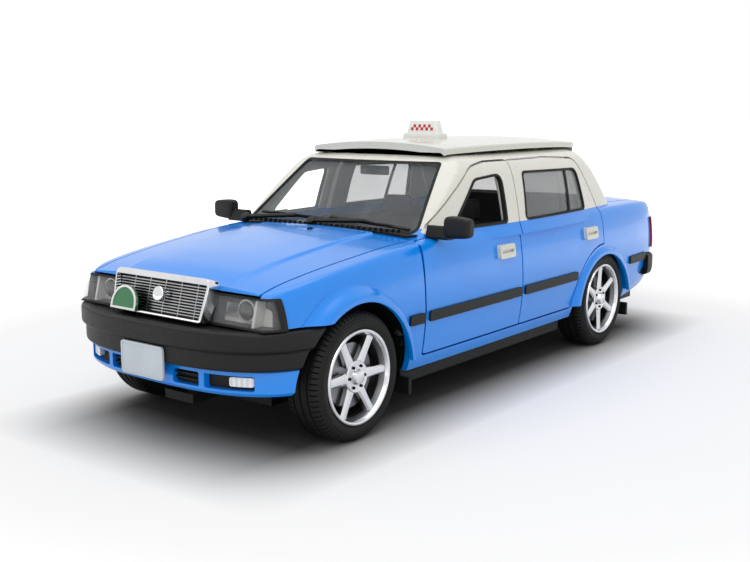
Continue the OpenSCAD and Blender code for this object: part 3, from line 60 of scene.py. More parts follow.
# Along the lower body: place, width, shoulder height, crown, rise of the lower edge, lean of the nose
STATION_SHARES = (
    (0, .834, .773, .55, 1, 1), (.007, .876, .782, .6, .95, .9), (.022, .915, .804, .7, .76, .7),
    (.044, .946, .827, .85, .6, .4), (.088, .969, .867, 1, .35, .1), (.146, .983, .911, 1, .1, 0),
    (.219, .992, .96, .9, 0, 0), (.307, .998, .991, .6, 0, 0), (.423, 1, 1, .5, 0, 0),
    (.569, 1, 1, .5, 0, 0), (.7, .998, 1, .5, 0, 0), (.803, .988, 1, .55, 0, 0),
    (.876, .973, .996, .65, .2, 0), (.934, .95, .987, .7, .5, 0), (.967, .923, .973, .65, .76, 0),
    (.989, .88, .956, .6, .95, 0), (1, .83, .93, .5, 1, 0))
# Up its side: height, tuck under the widest line, rise with an offset
SIDE_SHARES = ((0, 1, 0), (.08, .62, 0), (.25, .22, 0), (.44, 0, 0), (.64, .08, 0), (.83, .38, 0),
               (.93, .7, .2), (.985, 1.15, .6), (1, 2, 1))
DECK_SHARES = (.85, .7, .54, .38, .19, 0)
# Up the cabin: height, way of the windscreen, of the rear window and of the side, rise with an offset
CABIN_SHARES = ((-.16, -.16, -.2, -.1, 0), (.04, .04, .03, .02, 0), (.22, .22, .18, .1, 0),
                (.48, .48, .42, .23, 0), (.74, .74, .68, .4, .1), (.89, .89, .86, .58, .35),
                (.96, .97, .95, .78, .7), (1, 1.07, 1.05, 1, 1))
ARC_SHARE, BOW_SHARE = .3, .75
SIDE_RUN_SHARES = ((.2, .55), (.35, .9), (.5, 1), (.65, .9), (.82, .55))
STATION_REACH, CABIN_REACH, RING_STEP = .012, .05, .01
LEAST_STEPS, PROFILE_STEPS, PLAN_STEPS = 2, 4, 4

# Openings of the body
ARCHES = {FRONT_AXLE_Y: (13.4, 9.6), REAR_AXLE_Y: (12.4, 8.5)}
LIP_X, LIP_T, HOUSING_OUT, HOUSING_IN_X = 26.5, .75, 1.1, 15.5
FLARE_OUT, FLARE_IN_X, FLARE_RIM, FLARE_STEPS = 3.2, 24.4, .6, 12
DOOR_FRONT_Y, DOOR_SPLIT_Y, DOOR_REAR_Y, DOOR_FOOT_Z, DOOR_HEAD_Z = -31.5, 1.1, 37.2, 11, 43
SPLIT_HEAD_Y, FRONT_HEAD_Y, FRONT_HEAD_Z, REAR_HEAD_EDGE_Y, REAR_CUT_R, REAR_CUT_Z = 2.3, -10.4, 42.3, 30, 14.9, 8.5
DOOR_SCREEN_GAP, FRONT_HEAD_SHARE, REAR_HEAD_SHARE = 2.2, .4, .5
DOOR_ROUNDS = {False: (.6, .4, .4, .8, 9, 7, 2, 1), True: (.4, .6, .4, 2, 4, 6, .8, .4)}
LIGHT_ROUNDS = {-1: (.8, .8, 1.4, 3), 1: (.8, .9, 1.8, 1.2)}
DECK_EDGE_X, DECK_EDGE_RISE, SCREEN_POST_W = 22.7, 1.2, 1.2
HINGE_X, HINGE_AHEAD, HINGE_CLEAR = 23.2, 4, .12
SWING_SHARES = ((.03, .9), (.21, .3), (.45, 0), (.71, .15), (1.04, .5))
GLASS_FOOT_Z, GLASS_HEAD_Z, GLASS_ROUND, GLASS_T, GLASS_BACK = 31.7, 40.6, .8, .8, .15
FRONT_LIGHT = ((-19.76, 31.7), (-3.14, 31.7), (-2.16, 40.6), (-10.64, 39.98))
REAR_LIGHT = ((3.8, 31.7), (29.98, 31.7), (28.9, 40.16), (5.8, 40.6))
SCREEN_LIGHT = ((-20.6, 31.7), (20.6, 31.7), (16.4, 43), (-16.4, 43))
REAR_SCREEN_LIGHT = ((-19.4, 32.7), (19.4, 32.7), (15.6, 42.2), (-15.6, 42.2))
SEAL_GAP, SEAL_PROUD, SEAL_BACK = .15, .12, .7
BONNET_FRONT_HALF, BONNET_REAR_HALF, BONNET_REAR_Y, BONNET_LIP_Z, LID_BACK_GAP = 19.6, 21.4, -31, 25.7, .9
BOOT_HALF, BOOT_FRONT_Y, BOOT_DECK_Z, BOOT_FACE_HALF, BOOT_FACE_Y, BOOT_FOOT_Z = 19.6, 50.4, 28.4, 13.4, 64, 19.2
BUMPER_END_Y, BUMPER_TOP_Z, BUMPER_LOW_Z, BUMPER_HALF, BUMPER_POWER, BUMPER_T = -55.4, 20.5, 14.3, 25.7, 2.8, 2.2
REAR_BUMPER_Y, REAR_BUMPER_TOP_Z, REAR_BUMPER_LOW_Z, REAR_BUMPER_HALF, REAR_POWER = 62.3, 17.9, 12.9, 25.4, 2.8
LAMP_IN_X, LAMP_LOW_Z, LAMP_HIGH_Z, LAMP_BACK_Y, LAMP_FIT = 10.7, 20.7, 25.3, -64.4, .1
LENS_PROUD, LENS_T, REFLECTOR_BACK = .2, .5, 2.3
TAIL_IN_X, TAIL_LOW_Z, TAIL_HIGH_Z, TAIL_FRONT_Y, TAIL_PROUD, TAIL_T = 14, 19.2, 26.6, 66.5, .5, .9
PILLAR_BACK, PILLAR_T, PILLAR_LOW_Z, PILLAR_LEAN = 1.4, 1.2, 29.8, 1.2
PILLAR_YS = (-1.2, 4.4)

# Finish of the meshes
SMOOTH_ANGLE, EDGE_ANGLE = math.radians(28), math.radians(30)
ARC_STEPS, LATHE_STEPS, CORNER_STEPS, BALL_ROWS, BALL_COLUMNS = 40, 96, 5, 16, 32
PAINT_SPLIT_Z, DECK_TILT, DECK_TOP_Z = 31.4, .72, 32.4


def mix(a, b, t):
    return a + (b - a) * t


def ease(t):
    t = min(max(t, 0), 1)
    return t * t * (3 - 2 * t)


def tangents(xs, ys):
    """Slopes of a monotone curve through points."""
    run = [(b - a) / (q - p) for p, q, a, b in zip(xs, xs[1:], ys, ys[1:])]
    inner = [2 * a * b / (a + b) if a * b > 0 else 0 for a, b in zip(run, run[1:])]
    return [run[0], *inner, run[-1]]


def finer(rows, reach):
    """A table with rows added between its own, every column on a monotone curve over the first."""
    xs = [row[0] for row in rows]
    columns = list(zip(*rows))
    slopes = [tangents(xs, c) for c in columns]
    made = []
    for i, gap in enumerate(b - a for a, b in zip(xs, xs[1:])):
        steps = max(LEAST_STEPS, math.ceil(gap / reach))
        for t in (k / steps for k in range(steps)):
            made.append([
                (2 * t ** 3 - 3 * t ** 2 + 1) * c[i] + (3 * t ** 2 - 2 * t ** 3) * c[i + 1]
                + gap * ((t ** 3 - 2 * t ** 2 + t) * m[i] + (t ** 3 - t ** 2) * m[i + 1])
                for c, m in zip(columns, slopes)])
    return [*made, list(rows[-1])]


def curve_through(points, steps, before, after):
    """Points of a smooth curve through the given ones, and the two that lie before and after."""
    spots = [Vector(p) for p in (before, *points, after)]
    made = []
    for a, b, c, d in zip(spots, spots[1:], spots[2:], spots[3:]):
        t1 = math.sqrt((b - a).length)
        t2 = t1 + math.sqrt((c - b).length)
        t3 = t2 + math.sqrt((d - c).length)
        for t in (mix(t1, t2, k / steps) for k in range(steps)):
            ab, bc, cd = a.lerp(b, t / t1), b.lerp(c, (t - t1) / (t2 - t1)), c.lerp(d, (t - t2) / (t3 - t2))
            made.append(ab.lerp(bc, t / t2).lerp(bc.lerp(cd, (t - t1) / (t3 - t1)), (t - t1) / (t2 - t1)))
    return [*made, spots[-2]]


class Solid:
    """A closed mesh in millimetres, which others join, cut or meet."""

    def __init__(self, mesh):
        self.mesh = mesh

    def combined(self, other, operation):
        both = [bpy.data.objects.new("solid", s.mesh) for s in (self, other)]
        for obj in both:
            bpy.context.scene.collection.objects.link(obj)
        step = both[0].modifiers.new("step", "BOOLEAN")
        step.operation, step.solver, step.object = operation, "MANIFOLD", both[1]
        mesh = baked(both[0])
        for obj in both:
            bpy.data.objects.remove(obj)
        return Solid(mesh)

    def __or__(self, other):
        return self.combined(other, "UNION")

    def __sub__(self, other):
        return self.combined(other, "DIFFERENCE")

    def __and__(self, other):
        return self.combined(other, "INTERSECT")

    def edit(self, change):
        bm = bmesh.new()
        bm.from_mesh(self.mesh)
        change(bm)
        bm.to_mesh(self.mesh)
        bm.free()
        return self

    def moved(self, matrix):
        made = Solid(self.mesh.copy())
        made.mesh.transform(matrix)
        if matrix.determinant() < 0:
            made.mesh.flip_normals()
        return made

    def mirrored(self):
        return self.moved(Matrix.Scale(-1, 4, (1, 0, 0)))

    def softened(self, width, segments=2):
        """Rounds the sharp edges."""
        def bevel(bm):
            bmesh.ops.remove_doubles(bm, verts=bm.verts, dist=MM)
            edges = [e for e in bm.edges if len(e.link_faces) == 2 and e.calc_face_angle(0) > EDGE_ANGLE]
            bmesh.ops.bevel(bm, geom=edges, offset=width, segments=segments, profile=.5,
                            affect="EDGES", clamp_overlap=True)
        return self.edit(bevel)


def filled(bm):
    """A solid of a closed bmesh, with its faces turned outwards."""
    bmesh.ops.recalc_face_normals(bm, faces=bm.faces)
    mesh = bpy.data.meshes.new("solid")
    bm.to_mesh(mesh)
    bm.free()
    return Solid(mesh)


def baked(obj):
    graph = bpy.context.evaluated_depsgraph_get()
    return bpy.data.meshes.new_from_object(obj.evaluated_get(graph))


def skin(rings, closed=False):
    """A solid through rings of points; closed joins the last ring to the first."""
    bm = bmesh.new()
    loops = [[bm.verts.new(p) for p in ring] for ring in rings]
    count = len(loops[0])
    for a, b in zip(loops, loops[1:] + loops[:1] if closed else loops[1:]):
        for i in range(count):
            bm.faces.new((a[i], a[(i + 1) % count], b[(i + 1) % count], b[i]))
    if not closed:
        bm.faces.new(loops[0])
        bm.faces.new(loops[-1])
    return filled(bm)


def prism_x(outline, start, end):
    return skin([[(x, y, z) for y, z in outline] for x in (start, end)])


def prism_y(outline, start, end):
    return skin([[(x, y, z) for x, z in outline] for y in (start, end)])


def prism_z(outline, start, end):
    return skin([[(x, y, z) for x, y in outline] for z in (start, end)])


def union(solids):
    """Several solids as one."""
    first, *others = solids
    for solid in others:
        first = first | solid
    return first


def corners(a, b, c, d):
    """A rectangle from a to b one way and from c to d the other way."""
    return [(a, c), (b, c), (b, d), (a, d)]


def block(low, high):
    return prism_z(corners(low[0], high[0], low[1], high[1]), low[2], high[2])


def circle(centre, radius, steps=ARC_STEPS, start=0.0, sweep=math.tau):
    """Points on an arc, without its last point where it is a full turn."""
    ends = 0 if sweep == math.tau else 1
    return [(centre[0] + radius * math.cos(start + sweep * i / steps),
             centre[1] + radius * math.sin(start + sweep * i / steps)) for i in range(steps + ends)]


def rod_x(start, end, radius, y, z, steps=ARC_STEPS):
    return prism_x(circle((y, z), radius, steps), start, end)


def lathe_x(points, y=0.0, z=0.0):
    """Turns a closed outline of (radius, x) round an axis along X."""
    return skin([[(x, y + r * math.cos(a), z + r * math.sin(a)) for r, x in points]
                 for a in (math.tau * i / LATHE_STEPS for i in range(LATHE_STEPS))], closed=True)


def ball(centre, radii):
    bm = bmesh.new()
    bmesh.ops.create_uvsphere(bm, u_segments=BALL_COLUMNS, v_segments=BALL_ROWS, radius=1)
    bmesh.ops.scale(bm, vec=radii, verts=bm.verts)
    bmesh.ops.translate(bm, vec=centre, verts=bm.verts)
    return filled(bm)


def area(outline):
    return sum(a[0] * b[1] - b[0] * a[1] for a, b in zip(outline, [*outline[1:], outline[0]])) / 2


def grown(outline, distance):
    """An outline moved outwards all round."""
    turn = 1 if area(outline) > 0 else -1
    made = []
    for a, b, c in zip([outline[-1], *outline[:-1]], outline, [*outline[1:], outline[0]]):
        d1, d2 = ((Vector(q) - Vector(p)).normalized() for p, q in ((a, b), (b, c)))
        n1, n2 = (Vector((d.y, -d.x)) * turn for d in (d1, d2))
        lean = n1 + n2
        made.append(tuple(Vector(b) + lean * (distance * 2 / lean.length_squared)))
    return made


def rounded(outline, radius):
    """An outline with its corners rounded, all alike or each by its own radius."""
    made = []
    radii = radius if isinstance(radius, tuple) else (radius,) * len(outline)
    for a, b, c, radius in zip([outline[-1], *outline[:-1]], outline, [*outline[1:], outline[0]], radii):
        a, b, c = Vector(a), Vector(b), Vector(c)
        inward, onward = (a - b).normalized(), (c - b).normalized()
        half = inward.angle(onward) / 2
        run = min(radius / math.tan(half), (a - b).length / 2, (c - b).length / 2)
        for t in (i / CORNER_STEPS for i in range(CORNER_STEPS + 1)):
            p, q = b + inward * run * (1 - t), b + onward * run * t
            made.append(tuple(p.lerp(q, t)))
    return made


def lower_ring(row, index, count, out, drop):
    width = BODY_HALF * row[1]
    low, top = SILL_Z + END_RISE * row[4], SILL_Z + (BELT_Z - SILL_Z) * row[2]
    side = [(width - SIDE_TUCK * s[1] + out * (1 - s[2]), mix(low, top, s[0]) + out * s[2]) for s in SIDE_SHARES]
    edge = side[-1]
    deck = [(edge[0] * u, edge[1] + DECK_CROWN * row[3] * (1 - u * u)) for u in DECK_SHARES]
    before = (2 * side[0][0] - side[1][0], 2 * side[0][1] - side[1][1])
    after = (-deck[-2][0], deck[-2][1])
    half = [tuple(p) for p in curve_through([*side, *deck], PROFILE_STEPS, before, after)]
    if drop:
        half.insert(0, (side[0][0], low - drop))
    least, most = NOSE_Y - out + index * RING_STEP, TAIL_Y + out - (count - 1 - index) * RING_STEP
    y = least if index == 0 else most if index == count - 1 else min(max(mix(NOSE_Y, TAIL_Y, row[0]), least), most)
    loop = half + [(-x, z) for x, z in half[-2::-1]]
    return [(x, y - NOSE_LEAN * row[5] * (top - z) / (top - low), z) for x, z in loop]


def lower(out=0.0, drop=0.0):
    """The car below the belt, moved out by a distance; a drop opens its underside."""
    rows = finer(STATION_SHARES, STATION_REACH)
    return skin([lower_ring(row, i, len(rows), out, drop) for i, row in enumerate(rows)])


def cabin_ring(row, out):
    z = mix(BELT_Z, ROOF_Z, row[0]) + out * row[4]
    front = mix(SCREEN_FOOT_Y, SCREEN_HEAD_Y, row[1]) - out
    rear = mix(REAR_FOOT_Y, REAR_HEAD_Y, row[2]) + out
    mid = mix(CABIN_FOOT_HALF, CABIN_HEAD_HALF, row[3]) + out
    end, r = mid - mix(FOOT_NARROW, HEAD_NARROW, row[0]), CABIN_CORNER
    half = [(0, front - SCREEN_BOW), (end / 2, front - SCREEN_BOW * BOW_SHARE), (end - r, front),
            (end - r * ARC_SHARE, front + r * ARC_SHARE), (end, front + r),
            *((mix(end, mid, s[1]), mix(front, rear, s[0])) for s in SIDE_RUN_SHARES),
            (end, rear - r), (end - r * ARC_SHARE, rear - r * ARC_SHARE), (end - r, rear),
            (end / 2, rear + SCREEN_BOW * BOW_SHARE), (0, rear + SCREEN_BOW)]
    before, after = ((-half[i][0], half[i][1]) for i in (1, -2))
    half = [tuple(p) for p in curve_through(half, PLAN_STEPS, before, after)]
    return [(x, y, z) for x, y in half + [(-x, y) for x, y in half[-2:0:-1]]]


def cabin(out=0.0):
    return skin([cabin_ring(row, out) for row in finer(CABIN_SHARES, CABIN_REACH)])


def car(out=0.0, drop=0.0):
    return lower(out, drop) | cabin(out)


def pair(solid):
    """A solid of the left side with its likeness on the right."""
    return solid | solid.mirrored()


class Value:
    """An output of a finish's nodes; arithmetic on it adds Math nodes."""

    def __init__(self, finish, socket):
        self.finish, self.socket = finish, socket

    def math(self, operation, first, second):
        return self.finish.node("ShaderNodeMath", {"operation": operation}, {0: first, 1: second})

    def __add__(self, other):
        return self.math("ADD", self, other)

    def __radd__(self, other):
        return self.math("ADD", other, self)

    def __mul__(self, other):
        return self.math("MULTIPLY", self, other)

    def __rmul__(self, other):
        return self.math("MULTIPLY", other, self)


class Finish:
    """A material on Object coordinates; its nodes are added as they are asked for."""

    def __init__(self, name, constants):
        self.material = bpy.data.materials.new(name)
        self.material.use_nodes = True
        self.tree = self.material.node_tree
        self.shader = self.tree.nodes["Principled BSDF"]
        self.place = self.node("ShaderNodeTexCoord", {}, {}, "Object")
        self.feed(constants)

    def node(self, kind, settings, inputs, output=0):
        made = self.tree.nodes.new(kind)
        for key, value in settings.items():
            setattr(made, key, value)
        for key, value in inputs.items():
            self.put(value, made.inputs[key])
        return Value(self, made.outputs[output])

    def put(self, value, socket):
        if isinstance(value, Value):
            self.tree.links.new(value.socket, socket)
        else:
            socket.default_value = value

    def feed(self, inputs):
        for key, value in inputs.items():
            self.put(value, self.shader.inputs[key])

    def noise(self, size, detail):
        """Cloudy noise with spots of a size in millimetres."""
        return self.node("ShaderNodeTexNoise", {}, {"Vector": self.place, "Scale": 1 / (size * MM), "Detail": detail})

    def above(self, value, low, high):
        """0 under low, 1 over high."""
        return self.node("ShaderNodeMapRange", {}, {0: value, 1: low, 2: high})

    def blend(self, factor, first, second):
        return self.node("ShaderNodeMix", {"data_type": "RGBA"}, {0: factor, 6: first, 7: second}, 2)

    def relief(self, height, depth, strength):
        """A height from 0 to 1 as bumps of a depth in millimetres."""
        self.feed({"Normal": self.node(
            "ShaderNodeBump", {}, {"Height": height, "Distance": depth * MM, "Strength": strength})})


def tone(colour, share):
    """A colour made darker or lighter, with its alpha."""
    return (*(min(c * share, 1) for c in colour[:3]), 1)


def linear(*levels):
    """A colour written in screen levels of 0 to 255."""
    shares = (v / 255 for v in levels)
    return tuple(s / 12.92 if s <= .04045 else ((s + .055) / 1.055) ** 2.4 for s in shares)


MOTTLE, MOTTLE_TONES, DUST, DUST_LEVELS, DUST_SHARE, DUST_TONE = (22, 3), (.94, 1.05), (.5, 1), (.74, .8), .25, .6
POLISH, POLISH_LEVELS, POLISH_SPAN = (6, 4), (.4, .8), .1
PEEL, FINE_PEEL, FINE_SHARE, PEEL_RELIEF = (1.1, 1), (.35, 1), .4, (.012, .35)


def enamel(name, colour, roughness=.2, coat=.3):
    """Sprayed gloss paint: a faint mottle, a soft orange peel and a few dust specks."""
    f = Finish(name, {"Coat Weight": coat, "Coat Roughness": .04, "Specular IOR Level": .5})
    mottle, dust = f.noise(*MOTTLE), f.above(f.noise(*DUST), *DUST_LEVELS)
    body = f.blend(mottle, *(tone(colour, share) for share in MOTTLE_TONES))
    f.feed({"Base Color": f.blend(dust * DUST_SHARE, body, tone(colour, DUST_TONE)),
            "Roughness": roughness + POLISH_SPAN * f.above(f.noise(*POLISH), *POLISH_LEVELS)})
    f.relief(f.noise(*PEEL) + FINE_SHARE * f.noise(*FINE_PEEL), *PEEL_RELIEF)
    return f.material


FLOW, FLOW_TONES, PIT_DETAIL, PIT_LEVELS, PIT_SPAN, PIT_STRENGTH = (9, 4), (.82, 1.22), 2, (.35, .7), .16, .6


def moulded(name, colour, roughness=.42, grain=.28, depth=.02):
    """Moulded plastic with a spark-eroded grain and faint flow marks."""
    f = Finish(name, {"Specular IOR Level": .3})
    flow, pits = f.noise(*FLOW), f.noise(grain, PIT_DETAIL)
    f.feed({"Base Color": f.blend(flow, *(tone(colour, share) for share in FLOW_TONES)),
            "Roughness": roughness + PIT_SPAN * f.above(pits, *PIT_LEVELS)})
    f.relief(pits, depth, PIT_STRENGTH)
    return f.material


SMUDGE, SMUDGE_LEVELS, SMUDGE_TONE, SMUDGE_SPAN = (4, 5), (.45, .75), .86, .14
RIPPLE, RIPPLE_RELIEF = (.8, 1), (.01, .3)


def plated(name, colour, roughness=.1):
    """Vacuum plating: bright, with handling smudges and a slight ripple."""
    f = Finish(name, {"Metallic": 1.0})
    smudge = f.above(f.noise(*SMUDGE), *SMUDGE_LEVELS)
    f.feed({"Base Color": f.blend(smudge, tone(colour, 1), tone(colour, SMUDGE_TONE)),
            "Roughness": roughness + SMUDGE_SPAN * smudge})
    f.relief(f.noise(*RIPPLE), *RIPPLE_RELIEF)
    return f.material


SMEAR, SMEAR_LEVELS, SMEAR_TONE, SMEAR_SPAN, SMEAR_CLOUD, GRAZING_SHEEN = (7, 4), (.5, .8), .88, .05, .04, .3


def glazed(name, colour, alpha, roughness=.03):
    """Clear moulded glazing with faint smears, more opaque towards grazing angles: that brings back its reflection, and
    shows its pale tint there as a painted sheen.
    """
    f = Finish(name, {"Specular IOR Level": .8, "IOR": 1.49, "Coat Weight": 1.0, "Coat Roughness": .02})
    smear = f.above(f.noise(*SMEAR), *SMEAR_LEVELS)
    # Painted sheen: the pane grows more opaque towards grazing angles, partly its own reflection and partly its pale
    # tint shown as light
    rim = f.node("ShaderNodeLayerWeight", {}, {"Blend": .3}, "Facing")
    f.feed({"Base Color": f.blend(smear, tone(colour, 1), tone(colour, SMEAR_TONE)),
            "Roughness": roughness + SMEAR_SPAN * smear,
            "Alpha": alpha + SMEAR_CLOUD * smear + GRAZING_SHEEN * rim * rim})
    return f.material


FLUTE_SCALE, FLUTE_TONES, FLUTE_CLOUD, FLUTE_RELIEF = .314, (.85, 1.08), .08, (.08, .5)
HAZE, HAZE_LEVEL, HAZE_SPAN = (3, 3), .06, .08


def fluted(name, colour, alpha, pitch):
    """A lamp lens with moulded flutes."""
    f = Finish(name, {"Specular IOR Level": .45, "Coat Weight": .3, "Coat Roughness": .03})
    flutes = f.node("ShaderNodeTexWave", {"wave_type": "BANDS", "bands_direction": "X"},
                    {"Vector": f.place, "Scale": FLUTE_SCALE / (pitch * MM), "Distortion": 0})
    f.feed({"Base Color": f.blend(flutes, *(tone(colour, share) for share in FLUTE_TONES)),
            "Roughness": HAZE_LEVEL + HAZE_SPAN * f.noise(*HAZE), "Alpha": alpha + FLUTE_CLOUD * flutes})
    f.relief(flutes, *FLUTE_RELIEF)
    return f.material


BLOOM, BLOOM_LEVELS, BLOOM_TONES, BLOOM_LEVEL, BLOOM_SPAN = (5, 5), (.42, .72), (.8, 1.9), .62, .2
PORES, PORE_RELIEF = (.3, 2), (.025, .6)


def rubber(name, colour):
    """Soft rubber with a dusty bloom."""
    f = Finish(name, {"Specular IOR Level": .3})
    bloom = f.above(f.noise(*BLOOM), *BLOOM_LEVELS)
    f.feed({"Base Color": f.blend(bloom, *(tone(colour, share) for share in BLOOM_TONES)),
            "Roughness": BLOOM_LEVEL + BLOOM_SPAN * bloom})
    f.relief(f.noise(*PORES), *PORE_RELIEF)
    return f.material


WEAR, WEAR_LEVELS, WEAR_TONE, WEAR_SPAN, LINE_SPAN, LINE_RELIEF = (2.4, 4), (.45, .75), .7, .1, .12, (.01, .4)


def drawn(name, colour, roughness=.24):
    """Drawn or turned metal with fine lines round X."""
    f = Finish(name, {"Metallic": 1.0})
    lines = f.node("ShaderNodeTexWave", {"wave_type": "BANDS", "bands_direction": "X"},
                   {"Vector": f.place, "Scale": 900, "Distortion": 2, "Detail": 2})
    wear = f.above(f.noise(*WEAR), *WEAR_LEVELS)
    f.feed({"Base Color": f.blend(wear, tone(colour, 1), tone(colour, WEAR_TONE)),
            "Roughness": roughness + LINE_SPAN * lines + WEAR_SPAN * wear})
    f.relief(lines, *LINE_RELIEF)
    return f.material


# Of each finish: its kind, colour, share of that colour, and settings
FINISHES = {
    "sky_enamel": (enamel, "body", 1, {}),
    "cream_enamel": (enamel, "cabin", 1, {"roughness": .26, "coat": .5}),
    "white_gloss": (enamel, "roof", 1, {"roughness": .24, "coat": .5}),
    "handle_cream": (enamel, "cabin", .93, {"roughness": .3}),
    "sign_lacquer": (enamel, "sign", 1, {"roughness": .25, "coat": .4}),
    "sign_red": (enamel, "motif", 1, {"roughness": .35}),
    "badge_enamel": (enamel, "badge", 1, {"roughness": .3, "coat": .4}),
    "reflector_bright": (enamel, "reflectors", 1, {"roughness": .25, "coat": .5}),
    "eye_black": (enamel, "trim", .6, {"roughness": .15, "coat": .4}),
    "clear_pane": (glazed, "glass", 1, {"alpha": .05}),
    "smoked_pane": (glazed, "glass", .22, {"alpha": .42}),
    "lens_clear": (glazed, "lens", 1, {"alpha": .06}),
    "lens_red": (fluted, "tail", 1, {"alpha": .96, "pitch": .9}),
    "lens_white": (fluted, "lens", 1, {"alpha": .97, "pitch": .8}),
    "chrome_bright": (plated, "plating", 1, {"roughness": .09}),
    "grille_plating": (plated, "plating", .55, {"roughness": .14}),
    "wheel_silver": (plated, "wheels", 1, {"roughness": .2}),
    # Painted shade: the wheel silver darkened for the inside of the barrel and the brake disc
    "barrel_shade": (plated, "wheels", .3, {"roughness": .4}),
    "stud_dark": (plated, "trim", 1.6, {"roughness": .2}),
    "plate_satin": (moulded, "plates", 1, {"roughness": .38, "grain": .5, "depth": .01}),
    "trim_satin": (moulded, "trim", 1, {}),
    "cowl_matte": (moulded, "trim", .8, {"roughness": .5}),
    "chassis_plastic": (moulded, "trim", 1, {"roughness": .5, "grain": .4, "depth": .03}),
    "tub_plastic": (moulded, "trim", 1.2, {"roughness": .5, "grain": .4, "depth": .03}),
    "seat_vinyl": (moulded, "seats", 1, {"roughness": .5, "grain": .5}),
    "case_ivory": (moulded, "motor", 1, {"roughness": .45}),
    "gear_resin": (moulded, "gears", 1, {"roughness": .4}),
    "seal_rubber": (rubber, "trim", 1, {}),
    "tyre_rubber": (rubber, "tyres", 1, {}),
    "drawn_steel": (drawn, "steel", 1, {}),
    "turned_brass": (drawn, "brass", 1, {}),
}


def finish(name):
    """The finish of that name, made when it is first asked for."""
    if name not in bpy.data.materials:
        make, colour_name, share, settings = FINISHES[name]
        make(name, tone(getattr(bpy.context.scene.taxi_colours, colour_name), share), **settings)
    return bpy.data.materials[name]


def shown(name, body, mesh, finishes, nodes=()):
    """A mesh in millimetres as a piece of the toy, in place of the CAD nodes that it stands for."""
    mesh.name = name
    mesh.transform(Matrix.Scale(MM, 4))
    if not mesh.materials:
        for each in finishes:
            mesh.materials.append(finish(each))
    mesh.shade_smooth()
    mesh.set_sharp_from_angle(angle=SMOOTH_ANGLE)
    obj = bpy.data.objects.new(name, mesh)
    bpy.context.scene.collection.objects.link(obj)
    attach(obj, body)
    if nodes:
        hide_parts(*nodes)


def piece(name, body, solid, finishes, nodes=(), pick=None):
    """A solid as a piece; pick gives the finish of a face from its middle and its direction."""
    def clean(bm):
        bmesh.ops.dissolve_degenerate(bm, edges=bm.edges, dist=MM)
        for face in bm.faces:
            face.material_index = pick(face.calc_center_median(), face.normal) if pick else 0
    made = solid.moved(Matrix.Identity(4))
    made.mesh.materials.clear()
    shown(name, body, made.edit(clean).mesh, finishes, nodes)


def repeat_tree():
    """Node tree: copies a part along a line, or round the X axis."""
    if "repeat" in bpy.data.node_groups:
        return bpy.data.node_groups["repeat"]
    tree = bpy.data.node_groups.new("repeat", "GeometryNodeTree")
    for name, kind in (("Part", "Object"), ("Count", "Int"), ("Start", "Vector"), ("Step", "Vector"),
                       ("Turn", "Float"), ("Finish", "Material")):
        tree.interface.new_socket(name, in_out="INPUT", socket_type="NodeSocket" + kind)
    tree.interface.new_socket("Geometry", in_out="OUTPUT", socket_type="NodeSocketGeometry")

    def node(kind, settings, links):
        made = tree.nodes.new(kind)
        for key, value in settings.items():
            setattr(made, key, value)
        for key, source in links.items():
            tree.links.new(source, made.inputs[key])
        return made

    given = tree.nodes.new("NodeGroupInput").outputs
    line = node("GeometryNodeMeshLine", {}, {"Count": given["Count"], "Start Location": given["Start"],
                                             "Offset": given["Step"]})
    part = node("GeometryNodeObjectInfo", {}, {"Object": given["Part"]})
    index = node("GeometryNodeInputIndex", {}, {})
    angle = node("ShaderNodeMath", {"operation": "MULTIPLY"}, {0: index.outputs[0], 1: given["Turn"]})
    turn = node("ShaderNodeCombineXYZ", {}, {"X": angle.outputs[0]})
    copies = node("GeometryNodeInstanceOnPoints", {}, {
        "Points": line.outputs["Mesh"], "Instance": part.outputs["Geometry"], "Rotation": turn.outputs[0]})
    real = node("GeometryNodeRealizeInstances", {}, {"Geometry": copies.outputs["Instances"]})
    painted = node("GeometryNodeSetMaterial", {}, {"Geometry": real.outputs["Geometry"], "Material": given["Finish"]})
    node("NodeGroupOutput", {}, {"Geometry": painted.outputs["Geometry"]})
    return tree


def repeated(solid, count, finish_name, start=(0, 0, 0), step=(0, 0, 0), turn=0.0):
    """A plain mesh of a solid's copies, made by the repeat tree."""
    part = bpy.data.objects.new("part", solid.mesh)
    carrier = bpy.data.objects.new("carrier", bpy.data.meshes.new("carrier"))
    for obj in (part, carrier):
        bpy.context.scene.collection.objects.link(obj)
    tree = repeat_tree()
    modifier = carrier.modifiers.new("repeat", "NODES")
    modifier.node_group = tree
    values = {"Part": part, "Count": count, "Start": start, "Step": step, "Turn": turn, "Finish": finish(finish_name)}
    for socket in tree.interface.items_tree:
        if socket.in_out == "INPUT":
            modifier[socket.identifier] = values[socket.name]
    mesh = baked(carrier)
    for obj in (carrier, part):
        bpy.data.objects.remove(obj)
    return mesh


SIDES = ("left", "right")


def on_side(solid, side):
    return solid if side == "left" else solid.mirrored()


def layer(outer, inner, form=car):
    """The space between two offsets of the car's form, open underneath."""
    return form(outer) - form(inner, SILL_Z)


def cabin_layer(outer, inner):
    return cabin(outer) - cabin(inner)


def arch_outline(y, grow, foot=-1):
    radius, z = ARCHES[y][0] + grow, ARCHES[y][1]
    return [*circle((y, z), radius, ARC_STEPS, 0, math.pi), (y - radius, foot), (y + radius, foot)]


def wheel_space(y):
    return pair(prism_x(arch_outline(y, 0), HOUSING_IN_X, FAR)
                | prism_x(arch_outline(y, HOUSING_OUT), HOUSING_IN_X, LIP_X - LIP_T))


